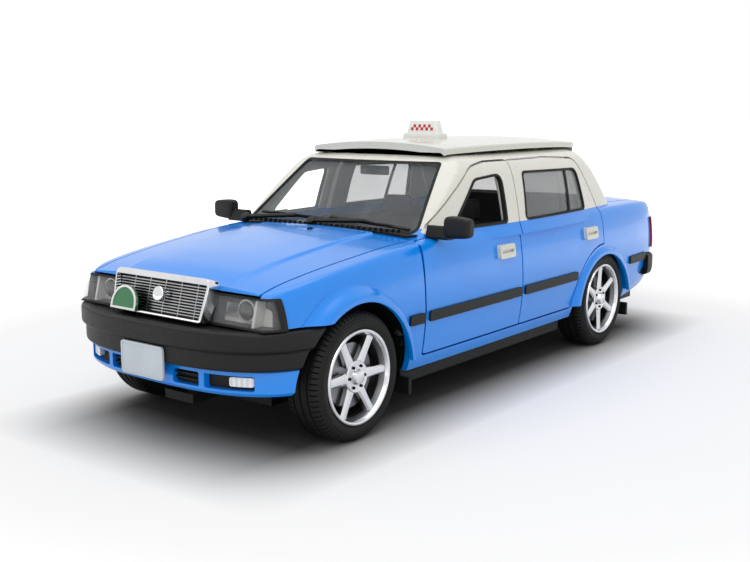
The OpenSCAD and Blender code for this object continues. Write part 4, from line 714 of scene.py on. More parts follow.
def flare(y):
    """The lip round a wheel arch, running softly into the side."""
    radius, z = ARCHES[y]
    rim, wide, inner = radius + FLARE_RIM, radius + FLARE_OUT, radius - FLARE_RIM
    sweep = [(mix(wide, rim, t), mix(FLARE_IN_X, LIP_X, ease(t)))
             for t in (i / FLARE_STEPS for i in range(FLARE_STEPS + 1))]
    ring = lathe_x([(inner, HOUSING_IN_X), (wide, HOUSING_IN_X), *sweep, (inner, LIP_X)], y, z)
    return pair(ring - block((0, -FAR, -FAR), (FAR, FAR, DOOR_FOOT_Z)))


def front_outline():
    return [(DOOR_FRONT_Y, DOOR_FOOT_Z), (DOOR_SPLIT_Y, DOOR_FOOT_Z), (DOOR_SPLIT_Y, BELT_Z),
            (SPLIT_HEAD_Y, DOOR_HEAD_Z), (mix(FRONT_HEAD_Y, SPLIT_HEAD_Y, FRONT_HEAD_SHARE), DOOR_HEAD_Z),
            (FRONT_HEAD_Y, FRONT_HEAD_Z), (SCREEN_FOOT_Y + DOOR_SCREEN_GAP, BELT_Z + WALL),
            (DOOR_FRONT_Y, BELT_Z - WALL)]


def rear_outline():
    return [(DOOR_SPLIT_Y, DOOR_FOOT_Z), (REAR_AXLE_Y - REAR_CUT_R, DOOR_FOOT_Z),
            (DOOR_REAR_Y, REAR_CUT_Z + REAR_CUT_R), (DOOR_REAR_Y, BELT_Z), (REAR_HEAD_EDGE_Y, FRONT_HEAD_Z),
            (mix(SPLIT_HEAD_Y, REAR_HEAD_EDGE_Y, REAR_HEAD_SHARE), DOOR_HEAD_Z), (SPLIT_HEAD_Y, DOOR_HEAD_Z),
            (DOOR_SPLIT_Y, BELT_Z)]


def door_space(outline, grow, arch=False):
    start = CABIN_HEAD_HALF - CABIN_CORNER
    space = prism_x(grown(rounded(outline, DOOR_ROUNDS[arch]), grow), start, FAR)
    if arch:
        space = space - rod_x(0, FAR, REAR_CUT_R - grow, REAR_AXLE_Y, REAR_CUT_Z, LATHE_STEPS)
    space = space - block((0, -FAR, -1), (DECK_EDGE_X - grow, FAR, BELT_Z + DECK_EDGE_RISE))
    return space - prism_y(grown(SCREEN_LIGHT, SCREEN_POST_W - grow), -FAR, 0)


def bonnet_space(grow, back):
    front, rear = BONNET_FRONT_HALF + grow, BONNET_REAR_HALF + grow
    plan = [(-front, -FAR), (front, -FAR), (front, NOSE_Y), (rear, BONNET_REAR_Y), (rear, BONNET_REAR_Y + back),
            (-rear, BONNET_REAR_Y + back), (-rear, BONNET_REAR_Y), (-front, NOSE_Y)]
    return prism_z(plan, BONNET_LIP_Z - grow, FAR)


def boot_space(grow, ahead):
    return (block((-BOOT_HALF - grow, BOOT_FRONT_Y - ahead, BOOT_DECK_Z - grow), (BOOT_HALF + grow, FAR, FAR))
            | block((-BOOT_FACE_HALF - grow, BOOT_FACE_Y - grow, BOOT_FOOT_Z - grow),
                    (BOOT_FACE_HALF + grow, FAR, BOOT_DECK_Z + grow + WALL)))


def lamp_space(grow):
    return block((LAMP_IN_X - grow, -FAR, LAMP_LOW_Z - grow), (FAR, LAMP_BACK_Y + grow, LAMP_HIGH_Z + grow))


def tail_space(grow):
    return block((TAIL_IN_X - grow, TAIL_FRONT_Y - grow, TAIL_LOW_Z - grow), (FAR, FAR, TAIL_HIGH_Z + grow))


def screen_prism(light, grow, front):
    return prism_y(grown(rounded(light, GLASS_ROUND), grow), *((-FAR, 0) if front else (0, FAR)))


def two_tone(middle, direction):
    """Cream above the belt, blue below it and on the decks."""
    if middle.z < PAINT_SPLIT_Z or (direction.z > DECK_TILT and middle.z < DECK_TOP_Z):
        return 0
    return 1


def split_paint(bm):
    bmesh.ops.bisect_plane(bm, geom=[*bm.verts, *bm.edges, *bm.faces], plane_co=(0, 0, PAINT_SPLIT_Z),
                           plane_no=(0, 0, 1))


def cast_shell():
    flares = flare(FRONT_AXLE_Y) | flare(REAR_AXLE_Y)
    shell = (car() | flares) - car(-WALL, SILL_Z)
    shell = shell - wheel_space(FRONT_AXLE_Y) - wheel_space(REAR_AXLE_Y)
    shell = shell - pair(door_space(front_outline(), SHUT_GAP) | door_space(rear_outline(), SHUT_GAP, True))
    shell = shell - bonnet_space(SHUT_GAP, LID_BACK_GAP) - boot_space(SHUT_GAP, LID_BACK_GAP)
    shell = shell - screen_prism(SCREEN_LIGHT, 0, True) - screen_prism(REAR_SCREEN_LIGHT, 0, False)
    shell = shell - block((-FAR, -FAR, -1), (FAR, BUMPER_END_Y + SHUT_GAP, BUMPER_TOP_Z + SHUT_GAP))
    shell = shell - block((-FAR, REAR_BUMPER_Y - SHUT_GAP, REAR_BUMPER_LOW_Z - SHUT_GAP),
                          (FAR, FAR, REAR_BUMPER_TOP_Z + SHUT_GAP))
    shell = shell - pair(lamp_space(LAMP_FIT) | tail_space(LAMP_FIT))
    lean = PILLAR_LEAN
    pillar = layer(-PILLAR_BACK, -PILLAR_BACK - PILLAR_T) & prism_x(
        [(PILLAR_YS[0], PILLAR_LOW_Z), (PILLAR_YS[1], PILLAR_LOW_Z), (PILLAR_YS[1] + lean, ROOF_Z),
         (PILLAR_YS[0] + lean, ROOF_Z)], -FAR, FAR)
    return shell | pillar


LINER_T, LINER_OUT_X = .5, 24.2


def arch_liners():
    """Dark inner arches between the chassis and the wings."""
    def liner(y):
        outer = prism_x(arch_outline(y, HOUSING_OUT + LINER_T, SILL_Z + LINER_T), HOUSING_IN_X - LINER_T, LINER_OUT_X)
        return pair(outer - prism_x(arch_outline(y, HOUSING_OUT), HOUSING_IN_X, FAR))
    return union(liner(y) for y in (FRONT_AXLE_Y, REAR_AXLE_Y)) & car(-WALL, 0)


CREASE_XS, CREASE_SOFT, CREASE_FADE, CREASE_OFFSETS = (12.9, 13.5), .7, 5, (-.35, -.18, 0, .18, .35)


def raise_centre(bm, height):
    """A raised middle between two creases along the bonnet."""
    front, rear = Vector((CREASE_XS[0], NOSE_Y, 0)), Vector((CREASE_XS[1], BONNET_REAR_Y, 0))
    for side in (1, -1):
        for offset in CREASE_OFFSETS:
            a, b = (Vector((side * (p.x + offset), p.y, 0)) for p in (front, rear))
            across = (b - a).cross(Vector((0, 0, 1)))
            bmesh.ops.bisect_plane(bm, geom=[*bm.verts, *bm.edges, *bm.faces], plane_co=a, plane_no=across)
    for v in bm.verts:
        edge = mix(*CREASE_XS, (v.co.y - NOSE_Y) / (BONNET_REAR_Y - NOSE_Y))
        fade = ease((v.co.y - NOSE_Y) / CREASE_FADE)
        v.co.z += height * fade * ease((edge - abs(v.co.x)) / CREASE_SOFT + .5)


LOCK_R, LOCK_T, LOCK_Z, LOCK_SINK, LOCK_EDGE = .9, .35, 26.9, .3, .12
JET_SPOTS, JET_R, JET_LONG, JET_H = ((-14.3, -33.9), (2.3, -35.2)), .52, 1.2, .4


def deck_height(x, y):
    """Height of the bonnet deck at a spot."""
    rows = finer(STATION_SHARES, STATION_REACH)
    share = (y - NOSE_Y) / (TAIL_Y - NOSE_Y)
    row = min(rows, key=lambda r: abs(r[0] - share))
    top = SILL_Z + (BELT_Z - SILL_Z) * row[2]
    edge = BODY_HALF * row[1] - SIDE_TUCK * SIDE_SHARES[-1][1]
    return top + DECK_CROWN * row[3] * (1 - (x / edge) ** 2)


def hinge_lathe(front_edge):
    """What a door clears at its front edge as it swings."""
    reach = [(math.hypot(BODY_HALF - SIDE_TUCK * s[1] - HINGE_X, HINGE_AHEAD - SHUT_GAP / 2) + HINGE_CLEAR,
              mix(SILL_Z, BELT_Z, s[0])) for s in SWING_SHARES]
    y = front_edge - HINGE_AHEAD
    return skin([[(HINGE_X + r * c, y + r * s, z) for c, s in circle((0, 0), 1, LATHE_STEPS)] for r, z in reach])


def split_band():
    half = SHUT_GAP / 2
    lean = (SPLIT_HEAD_Y - DOOR_SPLIT_Y) / (DOOR_HEAD_Z - BELT_Z)
    top = DOOR_SPLIT_Y + lean * (ROOF_Z + WALL - BELT_Z)
    return prism_x([(DOOR_SPLIT_Y - half, 0), (DOOR_SPLIT_Y + half, 0), (DOOR_SPLIT_Y + half, BELT_Z),
                    (top + half, ROOF_Z + WALL), (top - half, ROOF_Z + WALL), (DOOR_SPLIT_Y - half, BELT_Z)], 0, FAR)


def side_light(light, grow):
    return prism_x(grown(rounded(light, LIGHT_ROUNDS[math.copysign(1, light[0][0])]), grow), 0, FAR)


HANDLE_YS, HANDLE_LEN, HANDLE_ZS, HANDLE_PROUD, HANDLE_SLOT = (-5.2, 30.4), 5.4, (25, 27.6), .8, .6
HANDLE_SINK, HANDLE_RIM, SEAL_W, DIVIDER_YS, DIVIDER_W = .3, .5, .32, (22.1, 23.5), .8
HANDLE_CLEAR, SLOT_ROUND = 1, .25
DOORS = {"front": (front_outline, DOOR_FRONT_Y, FRONT_LIGHT), "rear": (rear_outline, DOOR_SPLIT_Y, REAR_LIGHT)}


def door_panel(kind):
    outline, front_edge, light = DOORS[kind]
    panel = layer(0, -DOOR_T) & door_space(outline(), 0, kind == "rear")
    panel = panel - split_band() - hinge_lathe(front_edge) - side_light(light, 0)
    y = HANDLE_YS[0 if kind == "front" else 1]
    well = prism_x(rounded(handle_outline(y, -HANDLE_RIM), HANDLE_RIM), 0, FAR)
    return panel - (well & layer(HANDLE_CLEAR, -HANDLE_SINK, lower))


def handle_outline(y, grow):
    half = HANDLE_LEN / 2 + grow
    return corners(y - half, y + half, HANDLE_ZS[0] - grow, HANDLE_ZS[1] + grow)


def door_handle(kind):
    """A cast pull with a finger slot."""
    y = HANDLE_YS[0 if kind == "front" else 1]
    bar = layer(HANDLE_PROUD, -HANDLE_SINK, lower) & prism_x(rounded(handle_outline(y, 0), HANDLE_RIM), 0, FAR)
    mid, half = sum(HANDLE_ZS) / 2, HANDLE_LEN / 2 - HANDLE_RIM
    slot = corners(y - half, y + half, mid - HANDLE_SLOT / 2, mid + HANDLE_SLOT / 2)
    slot = prism_x(rounded(slot, SLOT_ROUND), 0, FAR)
    return bar - (slot & layer(HANDLE_PROUD + HANDLE_CLEAR, HANDLE_SINK, lower))


def window_seal(opening):
    """A seal round a window; opening gives its prism, grown by a distance."""
    return cabin_layer(SEAL_PROUD, -SEAL_BACK) & (opening(SEAL_W) - opening(-SEAL_GAP))


PANEL_FRONT_Y, PANEL_REAR_Y, PANEL_HALF, PANEL_EDGE_Z = -12.6, 37.2, 18.7, 46.2
PANEL_ARCH, PANEL_CROWN, PANEL_LIP, PANEL_T, PANEL_INSET = .9, 1, 1.2, .8, .9
PANEL_SHARES = ((0, .87, .5), (.03, .9, .62), (.12, .945, .8), (.3, .99, .97), (.5, 1, 1), (.7, .995, .9),
                (.9, .97, .62), (.975, .95, .42), (1, .93, .35))
PANEL_ROUND, PANEL_REACH, PANEL_ACROSS, PANEL_CORNER_STEPS = .45, .03, 28, 4
PANEL_US = [1 - 2 * i / PANEL_ACROSS for i in range(PANEL_ACROSS + 1)]
PEG_R, PEG_X, PEG_SHARES, FRONT_LIP, REAR_LIP, LIP_SEAT = 1.5, 11, (.15, .85), 1.15, 3.4, .06


def panel_row(row):
    """Where a row of the roof panel is along the car, its half width and the height of its edge."""
    return mix(PANEL_FRONT_Y, PANEL_REAR_Y, row[0]), PANEL_HALF * row[1], PANEL_EDGE_Z - PANEL_ARCH * (1 - row[2])


def panel_ring(row):
    y, w, edge = panel_row(row)
    r = PANEL_ROUND
    top = [((w - r) * u, edge + PANEL_CROWN * (1 - u * u)) for u in PANEL_US]
    angles = (math.pi / 2 * i / PANEL_CORNER_STEPS for i in range(1, PANEL_CORNER_STEPS + 1))
    corner = [(r * math.sin(a) - r, r * math.cos(a) - r) for a in angles]
    foot = edge - PANEL_LIP
    left = [*((-(w + dx), edge + dz) for dx, dz in corner), (-w, foot), (-w + PANEL_INSET, foot)]
    low = [((w - PANEL_INSET) * u, edge - PANEL_T + PANEL_CROWN * (1 - u * u)) for u in reversed(PANEL_US)]
    right = [(-x, z) for x, z in reversed(left)]
    return [(x, y, z) for x, z in (*top, *left, *low, *right)]


def lip_ring(row, drop):
    y, w, edge = panel_row(row)
    top = [((w - PANEL_ROUND / 2) * u, edge - PANEL_T / 4 + PANEL_CROWN * (1 - u * u)) for u in PANEL_US]
    return [(x, y, z) for x, z in (*top, *((x, z - drop) for x, z in reversed(top)))]


def roof_cover():
    rows = finer(PANEL_SHARES, PANEL_REACH)
    cover = skin([panel_ring(row) for row in rows])
    cover = cover | skin([lip_ring(row, FRONT_LIP) for row in rows[:2]])
    cover = cover | (skin([lip_ring(row, REAR_LIP) for row in rows[-2:]]) - cabin(LIP_SEAT))
    for share in PEG_SHARES:
        y = mix(PANEL_FRONT_Y, PANEL_REAR_Y, share)
        cover = cover | pair(prism_z(circle((PEG_X, y), PEG_R), ROOF_Z, PANEL_EDGE_Z - PANEL_T / 2))
    return cover


SIGN_Y, SIGN_HALF, SIGN_HEAD_HALF, SIGN_DEPTH, SIGN_BASE_Z, SIGN_BASE_H = 4, 4.1, 3.4, 2.6, 47.2, .9
SIGN_BASE_OUT, SIGN_H, SIGN_ROUND, SIGN_HEAD_DEPTH, SIGN_EDGE = .5, 2.6, .5, 1.9, .22
MOTIF_SIZE, MOTIF_PROUD, MOTIF_LOW = .62, .05, .55


def rectangle(half_x, half_y, round_by, y=0.0):
    return [(px, py + y) for px, py in rounded(corners(-half_x, half_x, -half_y, half_y), round_by)]


def sign_box():
    """The roof sign: a foot plate and a tapered lamp box."""
    foot = prism_z(rectangle(SIGN_HALF + SIGN_BASE_OUT, SIGN_DEPTH / 2 + SIGN_BASE_OUT, SIGN_ROUND, SIGN_Y),
                   SIGN_BASE_Z - PANEL_T / 2, SIGN_BASE_Z + SIGN_BASE_H).softened(SIGN_EDGE)
    low, high = SIGN_BASE_Z + SIGN_BASE_H / 2, SIGN_BASE_Z + SIGN_BASE_H + SIGN_H
    lamp = skin([[(x, y, z) for x, y in rectangle(half, deep / 2, SIGN_ROUND, SIGN_Y)] for half, deep, z in (
        (SIGN_HALF, SIGN_DEPTH, low), (SIGN_HEAD_HALF, SIGN_HEAD_DEPTH, high))])
    return foot | lamp.softened(SIGN_EDGE)


def sign_motif():
    """Small squares in two staggered rows on the front and back of the sign."""
    rise = SIGN_H + SIGN_BASE_H / 2
    tilt = math.atan2((SIGN_DEPTH - SIGN_HEAD_DEPTH) / 2, rise)
    s, meshes = MOTIF_SIZE, []
    columns = int((SIGN_HEAD_HALF - SIGN_ROUND / 2) / s)
    for face in (-1, 1):
        for row in (0, 1):
            z = SIGN_BASE_Z + SIGN_BASE_H + MOTIF_LOW + (row + .5) * s
            share = (z - SIGN_BASE_Z - SIGN_BASE_H / 2) / rise
            y = SIGN_Y + face * mix(SIGN_DEPTH, SIGN_HEAD_DEPTH, share) / 2
            tile = block((-s / 2, -MOTIF_PROUD, -s / 2), (s / 2, MOTIF_PROUD, s / 2))
            tile = tile.moved(Matrix.Rotation(face * tilt, 4, "X"))
            count = columns if row == 0 else columns - 1
            meshes.append(repeated(tile, count, "sign_red", (-(count - 1) * s, y, z), (2 * s, 0, 0)))
    return joined(meshes)


def joined(meshes):
    bm = bmesh.new()
    for mesh in meshes:
        bm.from_mesh(mesh)
    mesh = bpy.data.meshes.new("joined")
    bm.to_mesh(mesh)
    bm.free()
    return mesh


BOW_STEPS = 120


def bow(half, end_y, tip_y, power, section):
    """A bar swept round an end of the car; the section is of (inset, height)."""
    rings = []
    for i in range(BOW_STEPS + 1):
        a = math.pi * i / BOW_STEPS
        c, s = math.cos(a), math.sin(a)
        ring = []
        for inset, z in section:
            x = math.copysign((half - inset) * abs(c) ** (2 / power), c)
            y = end_y + (tip_y - end_y - math.copysign(inset, tip_y - end_y)) * max(s, 0) ** (2 / power)
            ring.append((x, y, z))
        rings.append(ring)
    return skin(rings)


FRONT_TIP_Y, BUMPER_STEP, BUMPER_MID_Z, BUMPER_ROUND = -73, .6, 17.4, .7
APRON_HALF, APRON_TIP_Y, APRON_LOW_Z, APRON_T, APRON_UNDER = 24.9, -70.9, 10.2, 1.4, .6
VENT_SHARES, VENT_LOW_Z, VENT_HIGH_Z, FOG_SHARES, VENT_ROUND = ((.2, .42), (.46, .785)), 11.2, 13.5, (.63, .775), .35
VENT_BAR_ZS, VENT_BAR_T, VENT_BAR_SINK, FOG_LIFT = (12, 12.8), .22, .5, .6
REAR_ROUND, REAR_CORE_IN, REAR_STEP_H, APRON_ROUND = .9, .4, 1.6, .3
SKIRT_BACK, SKIRT_FRONT, SKIRT_LAP, FOG_SINK, FOG_DROP, VENT_REACH = .5, .3, .4, .25, .25, (-FAR, -FAR / 4)
LEDGE_OUT, LEDGE_IN, LEDGE_LOW_Z, LEDGE_HIGH_Z = 1.2, 8, 19.5, 20.3


def front_bow(section):
    return bow(BUMPER_HALF, BUMPER_END_Y, FRONT_TIP_Y, BUMPER_POWER, section)


def apron_bow(section):
    return bow(APRON_HALF, BUMPER_END_Y, APRON_TIP_Y, BUMPER_POWER, section)


def front_bar():
    groove = BUMPER_STEP / 2
    bar = front_bow(rounded([
        (BUMPER_T, BUMPER_LOW_Z), (BUMPER_STEP, BUMPER_LOW_Z), (BUMPER_STEP, BUMPER_MID_Z - groove),
        (groove, BUMPER_MID_Z), (0, BUMPER_MID_Z + groove), (0, BUMPER_TOP_Z), (BUMPER_T, BUMPER_TOP_Z)], BUMPER_ROUND))
    ledge = front_bow(corners(LEDGE_OUT, LEDGE_IN, LEDGE_LOW_Z, LEDGE_HIGH_Z))
    return (bar | ledge) - arch_cut()


def arch_cut():
    return rod_x(-FAR, FAR, ARCHES[FRONT_AXLE_Y][0], FRONT_AXLE_Y, ARCHES[FRONT_AXLE_Y][1], LATHE_STEPS)


def rear_bar():
    low, high = REAR_BUMPER_LOW_Z, REAR_BUMPER_TOP_Z
    section = rounded([(BUMPER_T, low), (BUMPER_STEP / 2, low), (0, low + REAR_STEP_H), (0, high), (BUMPER_T, high)],
                      REAR_ROUND)
    core = bow(REAR_BUMPER_HALF, REAR_BUMPER_Y - BUMPER_T, HALF_LENGTH, REAR_POWER,
               corners(LEDGE_OUT, LEDGE_IN, low + REAR_CORE_IN, high - REAR_CORE_IN))
    return bow(REAR_BUMPER_HALF, REAR_BUMPER_Y, HALF_LENGTH, REAR_POWER, section) | core


def vents():
    """The four openings of the apron."""
    holes = (corners(APRON_HALF * start, APRON_HALF * end, VENT_LOW_Z, VENT_HIGH_Z) for start, end in VENT_SHARES)
    return union(pair(prism_y(rounded(hole, VENT_ROUND), *VENT_REACH)) for hole in holes)


def front_skirt():
    section = rounded([(APRON_T, APRON_LOW_Z), (APRON_UNDER, APRON_LOW_Z), (0, APRON_LOW_Z + APRON_UNDER),
                       (0, BUMPER_LOW_Z), (APRON_T, BUMPER_LOW_Z)], APRON_ROUND)
    return apron_bow(section) - arch_cut() - vents()


def skirt_backing():
    """A dark back to the apron's openings, with bars in the inner two."""
    backing = apron_bow(corners(APRON_T + SKIRT_BACK, APRON_T - SKIRT_FRONT, VENT_LOW_Z - SKIRT_LAP,
                                VENT_HIGH_Z + SKIRT_LAP)) - arch_cut()
    half = APRON_HALF * VENT_SHARES[1][0]
    inner = vents() & block((-half, -FAR, 0), (half, 0, FAR))
    for z in VENT_BAR_ZS:
        bar = apron_bow(corners(APRON_T, VENT_BAR_SINK, z - VENT_BAR_T / 2, z + VENT_BAR_T / 2))
        backing = backing | (bar & inner)
    return backing


def fog_glass():
    x0, x1 = (APRON_HALF * s for s in FOG_SHARES)
    glass = apron_bow(corners(APRON_T, FOG_SINK, VENT_LOW_Z, VENT_HIGH_Z))
    window = rounded(corners(x0, x1, VENT_LOW_Z + FOG_LIFT, VENT_HIGH_Z - FOG_DROP), VENT_ROUND)
    return glass & pair(prism_y(window, *VENT_REACH))


GRILLE_HALF, GRILLE_LOW_HALF, GRILLE_TOP, GRILLE_LOW, GRILLE_BACK, GRILLE_DEEP = 11.3, 10.6, 1.1, -5.9, .5, 2
GRILLE_TOP_BAR, GRILLE_RIM, SLAT_T, UPRIGHT_T, BACKING_T, NOSE_TOP_Z = 1, .45, .2, .2, .4, 25.99
NOSE_ANGLE = math.radians(14.8)
BADGE_X, BADGE_R, BADGE_T, BADGE_LOW, BADGE_FOOT, BADGE_RIM, BADGE_RIM_T = -7.3, 3.05, .5, -5.7, .9, .35, .15
BOSS_R, BOSS_Z, BOSS_RISE, BOSS_STEM, BOSS_ROOT = 1.25, -2.3, .35, .8, -.6
GRILLE_EDGE, GRILLE_ROUNDS, GRILLE_FIELD_ROUND = .2, (.9, .9, 1.3, 1.3), .3


def on_nose(solid):
    return solid.moved(Matrix.Translation((0, NOSE_Y, NOSE_TOP_Z)) @ Matrix.Rotation(-NOSE_ANGLE, 4, "X"))


def grille_outline(rim, top):
    return [(-GRILLE_LOW_HALF + rim, GRILLE_LOW + rim), (GRILLE_LOW_HALF - rim, GRILLE_LOW + rim),
            (GRILLE_HALF - rim, GRILLE_TOP - top), (-GRILLE_HALF + rim, GRILLE_TOP - top)]


def grille_frame():
    surround = prism_y(rounded(grille_outline(0, 0), GRILLE_ROUNDS), -GRILLE_BACK - GRILLE_DEEP, 0)
    field = prism_y(rounded(grille_outline(GRILLE_RIM, GRILLE_TOP_BAR), GRILLE_FIELD_ROUND), -FAR, FAR)
    return on_nose(surround.softened(GRILLE_EDGE) - field)


def grille_bars(count, across):
    """Slats or uprights between the sides of the frame."""
    front, back = -GRILLE_BACK - GRILLE_DEEP / (2 if across else 3), -GRILLE_BACK - BACKING_T / 2
    low, high = GRILLE_LOW + GRILLE_RIM, GRILLE_TOP - GRILLE_TOP_BAR
    if across:
        bar = block((-GRILLE_LOW_HALF, front, -SLAT_T / 2), (GRILLE_LOW_HALF, back, SLAT_T / 2)).softened(SLAT_T / 4)
        step = (high - low) / (count + 1)
        mesh = repeated(bar, count, "grille_plating", (0, 0, low + step), (0, 0, step))
    else:
        bar = block((-UPRIGHT_T / 2, front, low), (UPRIGHT_T / 2, back, high)).softened(UPRIGHT_T / 4)
        step = 2 * GRILLE_HALF / (count + 1)
        mesh = repeated(bar, count, "grille_plating", (-GRILLE_HALF + step, 0, 0), (step, 0, 0))
    return on_nose(Solid(mesh)).mesh


def half_disc(radius, rise):
    return [*circle((BADGE_X, BADGE_LOW + BADGE_FOOT), radius, ARC_STEPS, 0, math.pi),
            (BADGE_X - radius, BADGE_LOW + rise), (BADGE_X + radius, BADGE_LOW + rise)]


def boss():
    """A plain domed boss in the middle of the grille."""
    front = -GRILLE_BACK - GRILLE_DEEP
    dome = ball((0, front, BOSS_Z), (BOSS_R, BOSS_RISE, BOSS_R))
    return on_nose(dome | prism_y(circle((0, BOSS_Z), BOSS_R * BOSS_STEM), front, BOSS_ROOT))


EYE_X, EYE_Z, EYE_R, EYE_DEEP, EYE_BACK, LAMP_DIVIDER_X, DIVIDER_T = 16.3, 23, 1.5, .8, 1.3, 18.7, .5
BEZEL_W, BEZEL_END, BEZEL_END_X, BEZEL_PROUD, BEZEL_FIT = .2, .9, 21.6, .14, .8
REFLECTOR_T, REFLECTOR_END_Y, BULB_RING, PROBE_R, WELL_GAP = .5, -62.7, .3, .05, .05


def lens_front():
    return layer(LENS_PROUD, LENS_PROUD - LENS_T, lower) & lamp_space(0)


def lamp_well():
    """The room behind a headlamp lens."""
    room = block((LAMP_IN_X, -FAR, LAMP_LOW_Z), (FAR, REFLECTOR_END_Y, LAMP_HIGH_Z))
    return room & lower(LENS_PROUD - LENS_T - WELL_GAP)


def lamp_bowl():
    """The bright reflector behind a headlamp lens, with a ring for the bulb and a wall to the corner lamp."""
    back = layer(-REFLECTOR_BACK, -REFLECTOR_BACK - REFLECTOR_T, lower)
    ring = rod_y(-FAR, REFLECTOR_END_Y, EYE_R + BULB_RING, EYE_X, EYE_Z) - rod_y(-FAR, FAR, EYE_R, EYE_X, EYE_Z)
    front = nose_at(EYE_X, EYE_Z)
    ring = ring & block((0, front + EYE_BACK, 0), (FAR, front + REFLECTOR_BACK + REFLECTOR_T, FAR))
    wall = block((LAMP_DIVIDER_X, -FAR, LAMP_LOW_Z), (LAMP_DIVIDER_X + DIVIDER_T, REFLECTOR_END_Y, LAMP_HIGH_Z))
    return (back | ring | (wall & (lower(0) - lower(-REFLECTOR_BACK - REFLECTOR_T / 2, SILL_Z)))) & lamp_well()


def rod_y(start, end, radius, x, z):
    return prism_y(circle((x, z), radius), start, end)


def nose_at(x, z):
    """Where the front of the car is, at a spot across and up."""
    return min(v.co.y for v in (rod_y(-FAR, 0, PROBE_R, x, z) & lower(0)).mesh.vertices)


def lamp_eye():
    """A dark domed eye in the reflector."""
    front = nose_at(EYE_X, EYE_Z)
    return ball((EYE_X, front + EYE_BACK, EYE_Z), (EYE_R, EYE_DEEP, EYE_R)) | rod_y(
        front + EYE_BACK, front + REFLECTOR_BACK + REFLECTOR_T, EYE_R - BULB_RING, EYE_X, EYE_Z)


def lamp_bezel():
    """A dark rim round the lens."""
    front = layer(LENS_PROUD + BEZEL_PROUD, -REFLECTOR_BACK, lower) & lamp_space(LAMP_FIT * BEZEL_FIT)
    low, high = LAMP_LOW_Z + BEZEL_W, LAMP_HIGH_Z - BEZEL_W
    face = block((LAMP_IN_X + BEZEL_W, -FAR, low), (BEZEL_END_X, FAR, high))
    side = block((LAMP_IN_X + BEZEL_W, -FAR, low), (FAR, LAMP_BACK_Y - BEZEL_END, high))
    return front - face - side


def tail_glass():
    return layer(TAIL_PROUD, -TAIL_T, lower) & tail_space(0)


PLATE_HALF, PLATE_T, PLATE_ROUND, PLATE_RIM, PLATE_SINK, PLATE_EDGE = 5, .5, .7, .35, .12, .08
FRONT_PLATE_Y, FRONT_PLATE_ZS, REAR_PLATE_Y, REAR_PLATE_ZS = -72.4, (11.6, 17), 71, (20.2, 25.4)


def plate(y, facing, zs):
    """A bare plate with a raised rim."""
    outline = rounded(corners(-PLATE_HALF, PLATE_HALF, *zs), PLATE_ROUND)
    face = y + facing * PLATE_T
    body = prism_y(outline, *sorted((y, face))).softened(PLATE_EDGE)
    field = prism_y(grown(outline, -PLATE_RIM), *sorted((face - facing * PLATE_SINK, face + facing)))
    return body - field


MIRROR_Y, MIRROR_Z, MIRROR_HEAD_X, MIRROR_END_X, MIRROR_H, MIRROR_D = -26.2, 32.9, 26.2, 31.4, 3.9, 2.6
MIRROR_FOOT_X, MIRROR_SEAT, MIRROR_TAPER, MIRROR_ROUND, MIRROR_FOOT_DROP = 22.5, .06, .82, .9, .3
MIRROR_SHARES = ((0, .72), (.05, .9), (.14, .98), (.3, 1), (.7, .93), (.88, .86), (.96, .74), (1, .5))
MIRROR_GLASS_IN, MIRROR_GLASS_T, MIRROR_GLASS_EDGE, MIRROR_REACH = .5, .12, .05, .04
MIRROR_FOOT_REAR_IN, MIRROR_FOOT_FRONT_IN, MIRROR_FOOT_RISE, MIRROR_FOOT_ROUND = .4, .7, .2, .5


def mirror_head():
    """A rounded housing on a foot that follows the door."""
    half, low = MIRROR_D / 2, -MIRROR_H / 2 - MIRROR_FOOT_DROP
    rings = []
    for along, size in finer(MIRROR_SHARES, MIRROR_REACH):
        x = mix(MIRROR_HEAD_X, MIRROR_END_X, along)
        rings.append([(x, MIRROR_Y + y, MIRROR_Z + z) for y, z in rectangle(
            half * size, MIRROR_H / 2 * size, MIRROR_ROUND * size)])
    foot = rounded([(-half, low), (half, low), (half - MIRROR_FOOT_REAR_IN, 0),
                    (-half + MIRROR_FOOT_FRONT_IN, MIRROR_FOOT_RISE)], MIRROR_FOOT_ROUND)
    foot = prism_x([(MIRROR_Y + y, MIRROR_Z + z) for y, z in foot], MIRROR_FOOT_X, MIRROR_HEAD_X + MIRROR_ROUND)
    return skin(rings) | (foot - car(MIRROR_SEAT))


def mirror_pane():
    y = MIRROR_Y + MIRROR_D / 2
    half = (MIRROR_END_X - MIRROR_HEAD_X) / 2 - 2 * MIRROR_GLASS_IN
    mid = (MIRROR_HEAD_X + MIRROR_END_X) / 2 - MIRROR_GLASS_IN / 2
    tall = MIRROR_H / 2 * MIRROR_TAPER - MIRROR_GLASS_IN
    outline = rounded(corners(mid - half, mid + half, MIRROR_Z - tall, MIRROR_Z + tall), MIRROR_ROUND / 2)
    return prism_y(outline, y - MIRROR_GLASS_T * 2, y + MIRROR_GLASS_T).softened(MIRROR_GLASS_EDGE)


